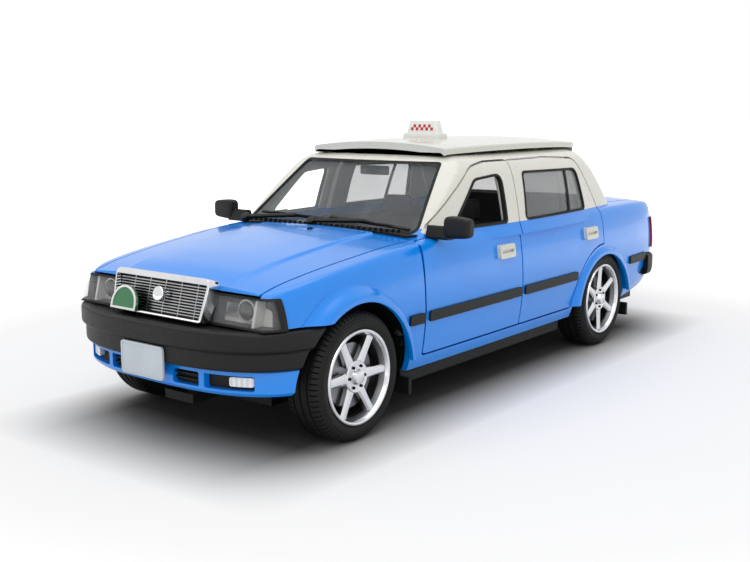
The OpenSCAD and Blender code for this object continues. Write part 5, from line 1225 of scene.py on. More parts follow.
WIPER_T, WIPER_LIFT, BLADE_T, UP_LENGTH = .6, .35, .48, math.hypot(15.9, 13.2)
WIPER_ARM_W, WIPER_ARM_LIFT, JOINT_LIFT = WIPER_T * 1.2, BLADE_T * .6, BLADE_T * .4
PIVOT_R, PIVOT_LOW, PIVOT_TOP, PIVOT_EDGE = WIPER_T * 1.5, -.2, WIPER_T * 1.6, .12
BLADE_H, SPINE_W, SPINE_LIFT, SPINE_SHARES = BLADE_T * .9, BLADE_T * .6, BLADE_T * .7, (.2, .8)
SCREEN_FOOT_HALF = 22.5
SCREEN_ANGLE = math.atan2(ROOF_Z - BELT_Z, SCREEN_HEAD_Y - SCREEN_FOOT_Y)
WIPER_SHARES = {"right": ((-.86, .03), (-.32, .1), (-.72, .13), (0, .1)),
                "left": ((-.1, .05), (.44, .1), (.06, .13), (.9, .06))}


def bar_between(a, b, width, height, low=0.0):
    """A rounded bar from one spot to another on the plane of the windscreen."""
    run = Vector(b) - Vector(a)
    outline = rectangle(run.length / 2 + width / 2, width / 2, width / 3)
    bar = prism_z(outline, low, low + height).softened(height / 5)
    middle = (Vector(a) + Vector(b)) / 2
    return bar.moved(Matrix.Translation((*middle, 0)) @ Matrix.Rotation(math.atan2(run.y, run.x), 4, "Z"))


def wiper(side):
    """An arm with its pivot, a blade with a spine and the joint between them."""
    spots = [(s[0] * SCREEN_FOOT_HALF, s[1] * UP_LENGTH) for s in WIPER_SHARES[side]]
    start, end = Vector(spots[2]), Vector(spots[3])
    arm = bar_between(spots[0], spots[1], WIPER_ARM_W, WIPER_T, WIPER_ARM_LIFT)
    pivot = prism_z(circle(spots[0], PIVOT_R), PIVOT_LOW, PIVOT_TOP).softened(PIVOT_EDGE)
    blade = bar_between(spots[2], spots[3], BLADE_T, BLADE_H)
    spine = bar_between(*(start.lerp(end, t) for t in SPINE_SHARES), SPINE_W, SPINE_W, SPINE_LIFT)
    joint = bar_between(spots[1], (start + end) / 2, WIPER_T, WIPER_T, JOINT_LIFT)
    made = arm | pivot | blade | spine | joint
    return made.moved(Matrix.Translation((0, SCREEN_FOOT_Y - SCREEN_BOW, BELT_Z))
                      @ Matrix.Rotation(SCREEN_ANGLE, 4, "X") @ Matrix.Translation((0, 0, WIPER_LIFT)))


COWL_FRONT_Y, COWL_REAR_Y, COWL_HALF, COWL_T, COWL_RIB_W, COWL_RIB_H = -30.1, -26.6, 20.2, .4, .22, .18
COWL_SPREAD, COWL_TAIL, COWL_MARGIN, COWL_RIB_RISE, COWL_RIB_START, COWL_RIB_END = 2.2, 1, 2, .4, .2, .9


def cowl_tray():
    wide, rear = COWL_HALF + COWL_SPREAD, COWL_REAR_Y + COWL_TAIL
    plan = [(-COWL_HALF, COWL_FRONT_Y), (COWL_HALF, COWL_FRONT_Y), (wide, rear), (-wide, rear)]
    return (lower(COWL_T) & prism_z(plan, BELT_Z - SIDE_TUCK, FAR)) - lower(0) - cabin(SEAL_GAP)


def cowl_ribs(count):
    half = COWL_HALF - COWL_MARGIN
    rib = block((-COWL_RIB_W / 2, COWL_FRONT_Y + COWL_RIB_START, 0),
                (COWL_RIB_W / 2, SCREEN_FOOT_Y - COWL_RIB_END, COWL_RIB_H + COWL_T))
    return repeated(rib, count, "cowl_matte", (-half, 0, BELT_Z + DECK_CROWN * COWL_RIB_RISE),
                    (2 * half / (count - 1), 0, 0))


STRIP_PROUD, STRIP_LOW_Z, STRIP_HIGH_Z, STRIP_ROUND, STRIP_SINK = .45, 16.8, 18.6, .45, .2
WING_STRIP_YS, FRONT_DOOR_STRIP_YS, REAR_DOOR_STRIP_YS, QUARTER_STRIP_YS = (
    (-36.4, -32.2), (-30.8, .4), (1.8, 24.1), (51.6, 61.95))


def strip(ys):
    outline = rounded(corners(*ys, STRIP_LOW_Z, STRIP_HIGH_Z), STRIP_ROUND)
    return layer(STRIP_PROUD, -STRIP_SINK, lower) & prism_x(outline, 0, FAR)


TYRE_R, TYRE_W, TYRE_FACE_X, RIM_R, TREAD_ROUND, HUB_R = 10.7, 7.4, 25.8, 7.9, 1.6, 2.7
SPOKE_ROOT_W, SPOKE_FOOT_W, FACE_BACK, SPOKE_T, LUG_R, LUG_CIRCLE_R = 2.2, 1.6, .5, 1.1, .25, 1.9
CAP_R, CAP_H, DISC_R, DISC_BACK, DISC_T, BARREL_T, RIM_LIP = 1.1, .4, 5.4, 2.4, .6, .8, .55
GROOVE_W, GROOVE_DEEP, SIPE_W, SIPE_DEEP, BARREL_LIP = .45, .45, .2, .75, .9
SPOKE_STARTS = {"front": 30, "rear": 0}
BORE_R, BORE_DEEP, TIP_R, HUB_SHORT, DISC_LAP, LUG_DEPTHS, LUG_STEPS = 1.05, 3, .01, 1.6, .4, (.6, .12), 12
# Profiles of the wheel and the tyre: how far inside a radius, how far behind a face
LIP_PROFILE = ((0, .25), (.1, .08), (.3, 0), (RIM_LIP, .12))
BARREL_PROFILE = ((.05, .6), (.35, 1.6), (.1, 2.6), (0, 3.2))
HUB_PROFILE = ((0, .45), (.2, .25), (.55, .3))
CAP_PROFILE = ((-.25, .32), (0, .1 - CAP_H), (.2, -CAP_H))
WALL_PROFILE = ((.05, .7), (-.12, .3), (-.5, .1), (-1, 0), (-1.35, .02), (-1.42, .14), (-1.75, .2))
CAP_TIP, SPOKE_IN, SPOKE_LAP = .05, .7, .15
# A spoke's place from hub to rim, its share of the width and its dip; then its section over the half width
SPOKE_SHARES = ((0, 1, .42), (.2, .86, .34), (.5, .8, .28), (.8, .86, .2), (1, 1.08, .1))
SPOKE_CROWN = ((-1, .32), (-.6, .05), (0, 0), (.6, .05), (1, .32))
SHOULDER_IN, SHOULDER_FROM, SHOULDER_STEPS, GROOVE_STEP, SIPE_IN, SIPE_END = .22, 3, 12, 1.5, 1.9, .1


def at_axle(y):
    return Matrix.Translation((0, y, AXLE_Z))


def profile(rows, radius, face):
    return [(radius - inside, face - behind) for inside, behind in rows]


def wheel_rim():
    """One left wheel without its spokes, about the X axis: barrel with a rolled lip, hub, brake disc."""
    face, back = TYRE_FACE_X, TYRE_FACE_X - TYRE_W
    inner, front, disc_face = RIM_R - BARREL_T, face - FACE_BACK, face - DISC_BACK
    barrel = lathe_x([(inner, back), (RIM_R, back), *profile(LIP_PROFILE, RIM_R, face),
                      *profile(BARREL_PROFILE, inner, face)])
    hub = lathe_x([(BORE_R, back + HUB_SHORT), (HUB_R, back + HUB_SHORT), *profile(HUB_PROFILE, HUB_R, front),
                   *profile(CAP_PROFILE, CAP_R, front), (TIP_R, front + CAP_H + CAP_TIP),
                   (TIP_R, face - BORE_DEEP), (BORE_R, face - BORE_DEEP)])
    disc = lathe_x(corners(HUB_R - DISC_LAP, DISC_R, disc_face - DISC_T, disc_face))
    return barrel | hub | disc


def barrel_side(middle, direction):
    """Painted shade inside the barrel and on the brake disc, a darker plating there; silver elsewhere."""
    deep = abs(middle.x) < TYRE_FACE_X - BARREL_LIP
    inward = middle.y * direction.y + middle.z * direction.z < 0
    return 1 if deep and (inward or math.hypot(middle.y, middle.z) > HUB_R) else 0


def wheel_spoke():
    """One spoke, crowned and waisted, along +Z."""
    rings = []
    for share, width, dip in SPOKE_SHARES:
        r = mix(HUB_R - SPOKE_IN, RIM_R - BARREL_T + SPOKE_LAP, share)
        w = mix(SPOKE_ROOT_W, SPOKE_FOOT_W, share) * width / 2
        top = TYRE_FACE_X - FACE_BACK - dip
        low = top - SPOKE_T
        rings.append([(low, -w, r), *((top - drop, w * across, r) for across, drop in SPOKE_CROWN), (low, w, r)])
    return skin(rings)


def tyre_ring():
    """One left tyre about the X axis: bead step, bulged wall, rounded shoulder and three grooves."""
    face, mid, deep = TYRE_FACE_X, TYRE_FACE_X - TYRE_W / 2, TYRE_R - GROOVE_DEEP
    angles = (math.pi / 2 * i / SHOULDER_STEPS for i in range(SHOULDER_FROM, SHOULDER_STEPS + 1))
    half = profile(WALL_PROFILE, RIM_R, face) + [
        (TYRE_R - TREAD_ROUND + TREAD_ROUND * math.sin(a),
         face - TREAD_ROUND + (TREAD_ROUND - SHOULDER_IN) * math.cos(a)) for a in angles]
    grooves = []
    for x in (mid + GROOVE_STEP, mid, mid - GROOVE_STEP):
        grooves += [(TYRE_R, x + GROOVE_W / 2), (deep, x + GROOVE_W / 3), (deep, x - GROOVE_W / 3),
                    (TYRE_R, x - GROOVE_W / 2)]
    other = [(r, 2 * mid - x) for r, x in reversed(half)]
    return lathe_x([*half, *grooves, *other])


def tread_sipe():
    """A thin cut on each shoulder of the tread, along +Z."""
    mid, near, far = TYRE_FACE_X - TYRE_W / 2, SIPE_IN, TYRE_W / 2 - SIPE_END
    return union(block((x0, -SIPE_W / 2, TYRE_R - SIPE_DEEP), (x1, SIPE_W / 2, TYRE_R + SIPE_DEEP))
                 for x0, x1 in ((mid + near, mid + far), (mid - far, mid - near)))


SEAT_X, SEAT_HALF, FRONT_SEAT_Y, SEAT_LEN, TUB_TOP_Z, CUSHION_H, SEAT_BACK_H = 8.6, 6.2, -9, 13, 8.7, 6, 21
SEAT_BACK_T, SEAT_RAKE, REAR_SEAT_HALF, REAR_SEAT_Y, REAR_SEAT_LEN, REAR_SEAT_Z = 3.6, 3.4, 14.6, 23, 15, 22.6
REAR_CUSHION_H, REAR_BACK_H, HEADREST_HALF, HEADREST_H, HEADREST_T, HEADREST_GAP = 3.6, 10.6, 3.4, 4.2, 2, .6
SEAT_BACK_TOP, SEAT_NOSE, SEAT_EDGE_STEPS, SEAM_XS, SEAM_HALF_W, SEAM_DEEP = .6, .6, 3, (-.576, .576), .14, .35
SEAM_LOW, SEAM_BEHIND, SEAM_TOP, HEADREST_ROUND, STALK_R, STALK_STEPS = .1, .6, 1.5, .4, .35, 16
HEADREST_SHARES = ((.86, 0), (1, .5), (1, HEADREST_H * .6), (.94, HEADREST_H - .4), (.8, HEADREST_H))
SEAT_ROUND = .9


def seat_form(x, half, y, z, length, rise, back_h, rake):
    """A moulded seat: a cushion and a raked back with rounded edges and two seams."""
    end, bend = y + length, y + length - SEAT_BACK_T
    top = z + back_h
    outline = rounded([(y, z), (end, z), (end + rake, top), (end + rake - SEAT_BACK_T * SEAT_BACK_TOP, top),
                       (bend, z + rise), (y, z + rise + SEAT_NOSE)], SEAT_ROUND)
    seat = prism_x(outline, x - half, x + half).softened(SEAT_ROUND / 2, SEAT_EDGE_STEPS)
    core = prism_x(grown(outline, -SEAM_DEEP), x - half, x + half)
    return seat - union(block((x + half * share - SEAM_HALF_W, bend - length, z + rise - SEAM_LOW),
                              (x + half * share + SEAM_HALF_W, bend + rake + SEAM_BEHIND, top - SEAM_TOP)) - core
                        for share in SEAM_XS)


def headrest(x, y, z):
    mid, deep = y - HEADREST_T / 2, HEADREST_T / 2
    pad = skin([[(x + px, mid + py, z + HEADREST_GAP + h) for px, py in rectangle(
        HEADREST_HALF * s, deep * s, HEADREST_T * HEADREST_ROUND * s)] for s, h in HEADREST_SHARES])
    for side in (-1, 1):
        stalk = circle((x + side * HEADREST_HALF / 2, mid), STALK_R, STALK_STEPS)
        pad = pad | prism_z(stalk, z - HEADREST_GAP, z + 2 * HEADREST_GAP)
    return pad


DASH_HALF, DASH_FRONT_Y, DASH_REAR_Y, DASH_LOW_Z, DASH_HIGH_Z, DASH_SLOPE = 17.4, -27, -20.4, 21, 30, 2.4
DASH_ROUND, DASH_EDGE, HOOD_R, HOOD_DROP, HOOD_RISE, HOOD_YS = 1, .4, 4.4, .6, 1.2, (DASH_REAR_Y - 4, DASH_REAR_Y - .8)
DASH_VENT, DASH_VENT_XS, DASH_VENT_DROP = (1.5, .7, .2), (-14.6, -2.2, 2.2, 14.6), .2
DASH_VENT_YS = DASH_REAR_Y - 2.2, DASH_REAR_Y + 1
STEER_SPOT, STEER_R, STEER_RIM_R, STEER_ANGLE = (-8.6, -15.4, 28), 4.4, .5, math.radians(62)
STEER_STEPS, STEER_RIM_STEPS, STEER_ARMS, COLUMN_R, COLUMN_LEN, COLUMN_TOP = 64, 12, 3, .7, 6, .1
STEER_HUB, STEER_HUB_T, STEER_HUB_EDGE = (1.3, 1, .4), .5, .15
STEER_ARM_HALF, STEER_ARM_ZS, STEER_ARM_EDGE = .45, (-.25, .2), .1
INNER_MIRROR_Z, INNER_MIRROR_BACK, INNER_MIRROR_HALF, INNER_MIRROR_TALL, INNER_MIRROR_T = 41.2, 2.6, 3.4, .9, .8


def inner_mirror():
    """A mirror hung on the windscreen, near its head."""
    z = INNER_MIRROR_Z
    y = mix(SCREEN_FOOT_Y, SCREEN_HEAD_Y, (z - BELT_Z) / (ROOF_Z - BELT_Z)) + INNER_MIRROR_BACK
    head = prism_y(rectangle(INNER_MIRROR_HALF, INNER_MIRROR_TALL, INNER_MIRROR_TALL / 2, z), y, y + INNER_MIRROR_T)
    stalk = block((-COLUMN_R, y - 2 * INNER_MIRROR_BACK, z - COLUMN_R / 2),
                  (COLUMN_R, y + INNER_MIRROR_T / 2, z + COLUMN_R / 2))
    return head.softened(INNER_MIRROR_T / 6) | (stalk & cabin(-WALL))

def dash_form():
    outline = rounded([(DASH_FRONT_Y, DASH_LOW_Z), (DASH_REAR_Y - DASH_SLOPE, DASH_LOW_Z),
                       (DASH_REAR_Y, DASH_HIGH_Z - DASH_SLOPE), (DASH_REAR_Y - DASH_SLOPE, DASH_HIGH_Z),
                       (DASH_FRONT_Y, DASH_HIGH_Z)], DASH_ROUND)
    dash = prism_x(outline, -DASH_HALF, DASH_HALF).softened(DASH_EDGE)
    hood = prism_y(circle((-SEAT_X, DASH_HIGH_Z - HOOD_DROP), HOOD_R, ARC_STEPS, 0, math.pi), *HOOD_YS)
    hood = hood & block((-FAR, -FAR, 0), (FAR, FAR, DASH_HIGH_Z + HOOD_RISE))
    vent = prism_y(rectangle(*DASH_VENT), *DASH_VENT_YS)
    for x in DASH_VENT_XS:
        dash = dash - vent.moved(Matrix.Translation((x, 0, DASH_HIGH_Z - DASH_SLOPE - DASH_VENT_DROP)))
    return dash | hood


def steering():
    def rim_ring(a):
        angles = (math.tau * j / STEER_RIM_STEPS for j in range(STEER_RIM_STEPS))
        radii = [(STEER_R + STEER_RIM_R * math.cos(b), STEER_RIM_R * math.sin(b)) for b in angles]
        return [(math.cos(a) * r, math.sin(a) * r, z) for r, z in radii]
    rim = skin([rim_ring(math.tau * i / STEER_STEPS) for i in range(STEER_STEPS)], closed=True)
    wheel = rim | prism_z(rectangle(*STEER_HUB), -STEER_HUB_T, STEER_HUB_T).softened(STEER_HUB_EDGE)
    low, high = STEER_ARM_ZS
    arm = block((0, -STEER_ARM_HALF, low), (STEER_R, STEER_ARM_HALF, high)).softened(STEER_ARM_EDGE)
    for i in range(STEER_ARMS):
        wheel = wheel | arm.moved(Matrix.Rotation(math.pi / 2 + i * math.tau / STEER_ARMS, 4, "Z"))
    wheel = wheel | prism_z(circle((0, 0), COLUMN_R), -COLUMN_LEN, COLUMN_TOP)
    return wheel.moved(Matrix.Translation(STEER_SPOT) @ Matrix.Rotation(-STEER_ANGLE, 4, "X"))


PAN_FRONT_Y, PAN_TOP_Z, PAN_TONGUE, PAN_TIP_Y = -58.5, 9.9, 3.4, -65.4


def chassis_pan():
    """The chassis with its front end cut back behind the apron."""
    def weld(bm):
        bmesh.ops.remove_doubles(bm, verts=bm.verts, dist=MM)
    pan = Solid(NODES["chassis"].data.copy()).moved(Matrix.Scale(1 / MM, 4)).edit(weld)
    return pan - pair(block((PAN_TONGUE, -FAR, -1), (FAR, PAN_FRONT_Y, PAN_TOP_Z))) - block(
        (-FAR, -FAR, -1), (FAR, PAN_TIP_Y, PAN_TOP_Z))


CARRIED = {
    "tub_plastic": ("cabin_tub",),
    "seat_vinyl": tuple(f"{row}_door_card_{side}" for row in ("front", "rear") for side in SIDES),
    "drawn_steel": ("hinge_pins", "front_axle", "rear_axle", "chassis_screws"),
    "sky_enamel": ("bonnet_hinge", "boot_hinge"),
    "case_ivory": ("motor_case",), "gear_resin": ("drum_gear",), "turned_brass": ("axle_pinion",),
}


def colour(name, description, *levels):
    return bpy.props.FloatVectorProperty(name=name, description=description, subtype="COLOR", size=3, min=0, max=1,
                                         default=linear(*levels))


class TaxiColours(bpy.types.PropertyGroup):
    """Colours of the toy's paints and plastics."""

    body: colour("Body", "Gloss enamel of the lower body", 2, 137, 240)
    cabin: colour("Cabin", "Enamel of the cabin frame", 220, 219, 209)
    roof: colour("Roof", "Raised roof panel", 208, 209, 200)
    sign: colour("Sign", "Box of the roof sign", 240, 240, 236)
    motif: colour("Motif", "Squares on the roof sign", 190, 30, 34)
    glass: colour("Glass", "Tint of the glazing", 205, 214, 218)
    lens: colour("Lens", "Clear lamp lenses", 232, 236, 240)
    tail: colour("Tail lamps", "Red lamp lenses", 150, 4, 8)
    plating: colour("Plating", "Grille, mirror glass and boot lock", 225, 226, 228)
    reflectors: colour("Reflectors", "Satin silver behind the headlamp lenses", 196, 194, 190)
    wheels: colour("Wheels", "Silver of the wheels", 222, 223, 226)
    badge: colour("Badge", "Half-round badge plate", 22, 112, 62)
    plates: colour("Plates", "Bare number plates", 196, 204, 212)
    trim: colour("Trim", "Black bumpers, strips and seals", 8, 10, 8)
    seats: colour("Seats", "Moulded seats and door cards", 58, 58, 62)
    tyres: colour("Tyres", "Rubber of the tyres", 12, 13, 12)
    steel: colour("Steel", "Pins, axles and screws", 196, 196, 198)
    brass: colour("Brass", "Pinion on the rear axle", 212, 172, 92)
    motor: colour("Motor", "Case of the pull-back motor", 226, 220, 200)
    gears: colour("Gears", "Gear of the spring drum", 222, 196, 136)


class TaxiSizes(bpy.types.PropertyGroup):
    """Counts and sizes of the toy's details."""

    crease: bpy.props.FloatProperty(name="Bonnet crease", description="Height of the bonnet's raised middle",
                                    default=.38 * MM, subtype="DISTANCE", unit="LENGTH", min=0)
    slats: bpy.props.IntProperty(name="Slats", description="Bars across the grille", default=11, min=3)
    uprights: bpy.props.IntProperty(name="Uprights", description="Bars up the grille", default=5, min=1)
    spokes: bpy.props.IntProperty(name="Spokes", description="Spokes of each wheel", default=6, min=3)
    sipes: bpy.props.IntProperty(name="Sipes", description="Cuts round each tyre", default=72, min=8)
    cowl_ribs: bpy.props.IntProperty(name="Cowl ribs", description="Ribs of the cowl", default=29, min=5)


class TaxiStage(bpy.types.PropertyGroup):
    """Floor, light and camera."""

    floor: bpy.props.FloatProperty(name="Floor", description="Side of the floor", default=6, subtype="DISTANCE",
                                   unit="LENGTH")
    key: bpy.props.FloatProperty(name="Key", description="Power of the key lamp", default=1.5, unit="POWER")
    top: bpy.props.FloatProperty(name="Top", description="Power of the lamp overhead", default=2.3, unit="POWER")
    fill: bpy.props.FloatProperty(name="Fill", description="Light of the world on the toy", default=.6)
    lens: bpy.props.FloatProperty(name="Lens", description="Focal length", default=49.7, subtype="DISTANCE_CAMERA")


class TAXI_OT_shell(bpy.types.Operator):
    """Body shell with its wheel arches and their dark liners"""
    bl_idname = "taxi.shell"
    bl_label = "Body shell"

    def execute(self, context):
        piece("shell_cast", "body", cast_shell().edit(split_paint), ("sky_enamel", "cream_enamel"),
              ("body_shell",), two_tone)
        piece("arch_liners", "body", arch_liners(), ("chassis_plastic",))
        return {"FINISHED"}


class TAXI_OT_lids(bpy.types.Operator):
    """Bonnet with its creases and washer jets, boot lid with its lock"""
    bl_idname = "taxi.lids"
    bl_label = "Bonnet and boot lid"

    def execute(self, context):
        skin_layer = layer(0, -WALL, lower)
        height = context.scene.taxi_sizes.crease / MM
        bonnet = (skin_layer & bonnet_space(0, 0)).edit(lambda bm: raise_centre(bm, height))
        piece("bonnet_cast", "bonnet", bonnet, ("sky_enamel",), ("bonnet",))
        jets = union(ball((x, y, deck_height(x, y) + (height if abs(x) < CREASE_XS[0] else 0)),
                          (JET_R, JET_R * JET_LONG, JET_H)) for x, y in JET_SPOTS)
        piece("washer_jets", "bonnet", jets, ("trim_satin",))
        piece("boot_cast", "boot", skin_layer & boot_space(0, 0), ("sky_enamel",), ("boot_lid",))
        lock = rod_y(TAIL_Y - LOCK_SINK, TAIL_Y + LOCK_T, LOCK_R, 0, LOCK_Z).softened(LOCK_EDGE)
        piece("boot_lock", "boot", lock, ("chrome_bright",))
        return {"FINISHED"}


class TAXI_OT_doors(bpy.types.Operator):
    """Four doors with handles, window seals, rear panes and their dividers"""
    bl_idname = "taxi.doors"
    bl_label = "Doors"

    def execute(self, context):
        for kind in DOORS:
            light = DOORS[kind][2]
            panel = door_panel(kind).edit(split_paint)
            handle, seal = door_handle(kind), window_seal(lambda grow: side_light(light, grow))
            for side in SIDES:
                body = f"{kind}_door_{side}"
                piece(f"{kind}_door_cast_{side}", body, on_side(panel, side),
                      ("sky_enamel", "cream_enamel"), (body,), two_tone)
                piece(f"{kind}_handle_{side}", body, on_side(handle, side), ("handle_cream",))
                piece(f"{kind}_window_seal_{side}", body, on_side(seal, side), ("seal_rubber",))
        pane = cabin_layer(-GLASS_BACK, -GLASS_BACK - GLASS_T) & side_light(REAR_LIGHT, -SEAL_GAP)
        low, high = DIVIDER_YS
        post = cabin_layer(SEAL_PROUD, -GLASS_BACK) & prism_x(
            [(low - DIVIDER_W / 2, GLASS_FOOT_Z), (low + DIVIDER_W / 2, GLASS_FOOT_Z),
             (high + DIVIDER_W / 2, GLASS_HEAD_Z), (high - DIVIDER_W / 2, GLASS_HEAD_Z)], 0, FAR)
        for side in SIDES:
            body = f"rear_door_{side}"
            piece(f"rear_pane_{side}", body, on_side(pane, side), ("smoked_pane",),
                  (f"rear_door_glass_{side}",))
            piece(f"rear_divider_{side}", body, on_side(post, side), ("seal_rubber",))
        return {"FINISHED"}


class TAXI_OT_glazing(bpy.types.Operator):
    """Windscreen and rear window with their seals"""
    bl_idname = "taxi.glazing"
    bl_label = "Glazing"

    def execute(self, context):
        sheet = cabin_layer(-GLASS_BACK, -GLASS_BACK - GLASS_T)
        for name, node, light, front, look in (("screen", "windscreen", SCREEN_LIGHT, True, "clear_pane"),
                                               ("back_light", "rear_window", REAR_SCREEN_LIGHT, False, "smoked_pane")):
            def opening(grow):
                return screen_prism(light, grow, front)
            pane = sheet & opening(-SEAL_GAP)
            piece(f"{name}_pane", "body", pane, (look,), (node,))
            piece(f"{name}_seal", "body", window_seal(opening), ("seal_rubber",))
        return {"FINISHED"}


class TAXI_OT_roof(bpy.types.Operator):
    """Raised roof panel and the sign on it"""
    bl_idname = "taxi.roof"
    bl_label = "Roof and sign"

    def execute(self, context):
        piece("roof_cover", "body", roof_cover(), ("white_gloss",), ("roof_panel",))
        piece("sign_box", "body", sign_box(), ("sign_lacquer",), ("roof_sign",))
        shown("sign_squares", "body", sign_motif(), ("sign_red",))
        return {"FINISHED"}


class TAXI_OT_bumpers(bpy.types.Operator):
    """Bumpers, front apron with its openings, and fog lamps"""
    bl_idname = "taxi.bumpers"
    bl_label = "Bumpers and apron"

    def execute(self, context):
        piece("front_bar", "body", front_bar(), ("trim_satin",), ("front_bumper",))
        piece("rear_bar", "body", rear_bar(), ("trim_satin",), ("rear_bumper",))
        piece("front_skirt", "body", front_skirt(), ("sky_enamel",), ("front_apron",))
        piece("skirt_backing", "body", skirt_backing(), ("cowl_matte",))
        piece("fog_glasses", "body", fog_glass(), ("lens_white",), ("fog_lamps",))
        return {"FINISHED"}


class TAXI_OT_grille(bpy.types.Operator):
    """Plated grille with slats, uprights, a plain boss and the half-round badge"""
    bl_idname = "taxi.grille"
    bl_label = "Grille and badge"

    def execute(self, context):
        sizes = context.scene.taxi_sizes
        piece("grille_frame", "body", grille_frame(), ("chrome_bright",), ("grille",))
        backing = prism_y(grille_outline(GRILLE_RIM / 2, GRILLE_RIM / 2), -GRILLE_BACK - BACKING_T, -GRILLE_BACK)
        piece("grille_backing", "body", on_nose(backing), ("cowl_matte",))
        for name, count, across in (("grille_slats", sizes.slats, True), ("grille_uprights", sizes.uprights, False)):
            shown(name, "body", grille_bars(count, across), ("grille_plating",))
        piece("grille_boss", "body", boss(), ("chrome_bright",))
        front = -GRILLE_BACK - GRILLE_DEEP
        disc = prism_y(half_disc(BADGE_R, 0), front - BADGE_T, front)
        piece("badge_disc", "body", on_nose(disc), ("badge_enamel",), ("badge_plate",))
        rim = prism_y(half_disc(BADGE_R, 0), front - BADGE_T - BADGE_RIM_T, front - BADGE_T / 2)
        rim = rim - prism_y(half_disc(BADGE_R - BADGE_RIM, BADGE_RIM), -FAR, FAR)
        piece("badge_rim", "body", on_nose(rim), ("sign_lacquer",))
        return {"FINISHED"}


class TAXI_OT_lamps(bpy.types.Operator):
    """Headlamps with reflectors, and tail lamps"""
    bl_idname = "taxi.lamps"
    bl_label = "Lamps"

    def execute(self, context):
        for name, slot, solid, look, node in (
                ("headlamp_glass", "lamp_clear", lens_front(), "lens_clear", "headlamp_lens"),
                ("headlamp_bowl", "lamp_silver", lamp_bowl(), "reflector_bright", "headlamp_reflector"),
                ("headlamp_eye", "trim_black", lamp_eye(), "eye_black", None),
                ("headlamp_bezel", "trim_black", lamp_bezel(), "trim_satin", None),
                ("tail_glass", "lamp_red", tail_glass(), "lens_red", "tail_lamp")):
            for side in SIDES:
                piece(f"{name}_{side}", "body", on_side(solid, side), (look,),
                      (f"{node}_{side}",) if node else ())
        return {"FINISHED"}


class TAXI_OT_plates(bpy.types.Operator):
    """Bare plates at the front and rear"""
    bl_idname = "taxi.plates"
    bl_label = "Plates"

    def execute(self, context):
        piece("plate_front", "body", plate(FRONT_PLATE_Y, -1, FRONT_PLATE_ZS), ("plate_satin",),
              ("front_plate",))
        piece("plate_rear", "boot", plate(REAR_PLATE_Y, 1, REAR_PLATE_ZS), ("plate_satin",),
              ("rear_plate",))
        return {"FINISHED"}


class TAXI_OT_mirrors(bpy.types.Operator):
    """Door mirrors"""
    bl_idname = "taxi.mirrors"
    bl_label = "Mirrors"

    def execute(self, context):
        head, pane = mirror_head(), mirror_pane()
        for side in SIDES:
            body = f"front_door_{side}"
            piece(f"mirror_head_{side}", body, on_side(head, side), ("trim_satin",), (f"mirror_{side}",))
            piece(f"mirror_pane_{side}", body, on_side(pane, side), ("chrome_bright",))
        return {"FINISHED"}


class TAXI_OT_cowl(bpy.types.Operator):
    """Cowl with its ribs, and the wipers"""
    bl_idname = "taxi.cowl"
    bl_label = "Cowl and wipers"

    def execute(self, context):
        piece("cowl_tray", "body", cowl_tray(), ("cowl_matte",), ("cowl_grille",))
        shown("cowl_ribs", "body", cowl_ribs(context.scene.taxi_sizes.cowl_ribs), ("cowl_matte",))
        for side in SIDES:
            piece(f"wiper_arm_{side}", "body", wiper(side), ("trim_satin",), (f"wiper_{side}",))
        return {"FINISHED"}


class TAXI_OT_strips(bpy.types.Operator):
    """Rub strips along the wings, doors and quarters"""
    bl_idname = "taxi.strips"
    bl_label = "Rub strips"

    def execute(self, context):
        ends = pair(strip(WING_STRIP_YS) | strip(QUARTER_STRIP_YS))
        piece("wing_strips", "body", ends, ("trim_satin",), ("side_strips",))
        for kind, ys in (("front", FRONT_DOOR_STRIP_YS), ("rear", REAR_DOOR_STRIP_YS)):
            run = strip(ys)
            for side in SIDES:
                piece(f"{kind}_rub_strip_{side}", f"{kind}_door_{side}", on_side(run, side),
                      ("trim_satin",), (f"{kind}_door_strip_{side}",))
        return {"FINISHED"}


class TAXI_OT_wheels(bpy.types.Operator):
    """Wheels with spokes and lug studs, tyres with grooves and sipes"""
    bl_idname = "taxi.wheels"
    bl_label = "Wheels and tyres"

    def execute(self, context):
        sizes = context.scene.taxi_sizes
        rims, tyres = pair(wheel_rim()), tyre_ring()
        cuts = Solid(repeated(tread_sipe(), sizes.sipes, "tyre_rubber", turn=math.tau / sizes.sipes))
        tyres = pair(tyres - cuts)
        spoke = pair(wheel_spoke())
        lug_ends = (TYRE_FACE_X - FACE_BACK - depth for depth in LUG_DEPTHS)
        lug = pair(rod_x(*lug_ends, LUG_R, 0, LUG_CIRCLE_R, LUG_STEPS))
        for row, y in (("front", FRONT_AXLE_Y), ("rear", REAR_AXLE_Y)):
            body = f"{row}_wheelset"
            place = at_axle(y)
            # The rims' second finish is painted shade: a darker plating inside the barrel and on the brake disc
            piece(f"{row}_rims", body, rims.moved(place), ("wheel_silver", "barrel_shade"),
                  (f"{row}_wheels",), lambda middle, direction: barrel_side(middle - place.translation, direction))
            for name, solid, count, look in ((f"{row}_spokes", spoke, sizes.spokes, "wheel_silver"),
                                             (f"{row}_lugs", lug, sizes.spokes, "stud_dark")):
                mesh = repeated(solid, count, look, turn=math.tau / count)
                mesh.transform(place @ Matrix.Rotation(math.radians(SPOKE_STARTS[row]), 4, "X"))
                shown(name, body, mesh, (look,))
            piece(f"{row}_treads", body, tyres.moved(place), ("tyre_rubber",), (f"{row}_tyres",))
        return {"FINISHED"}


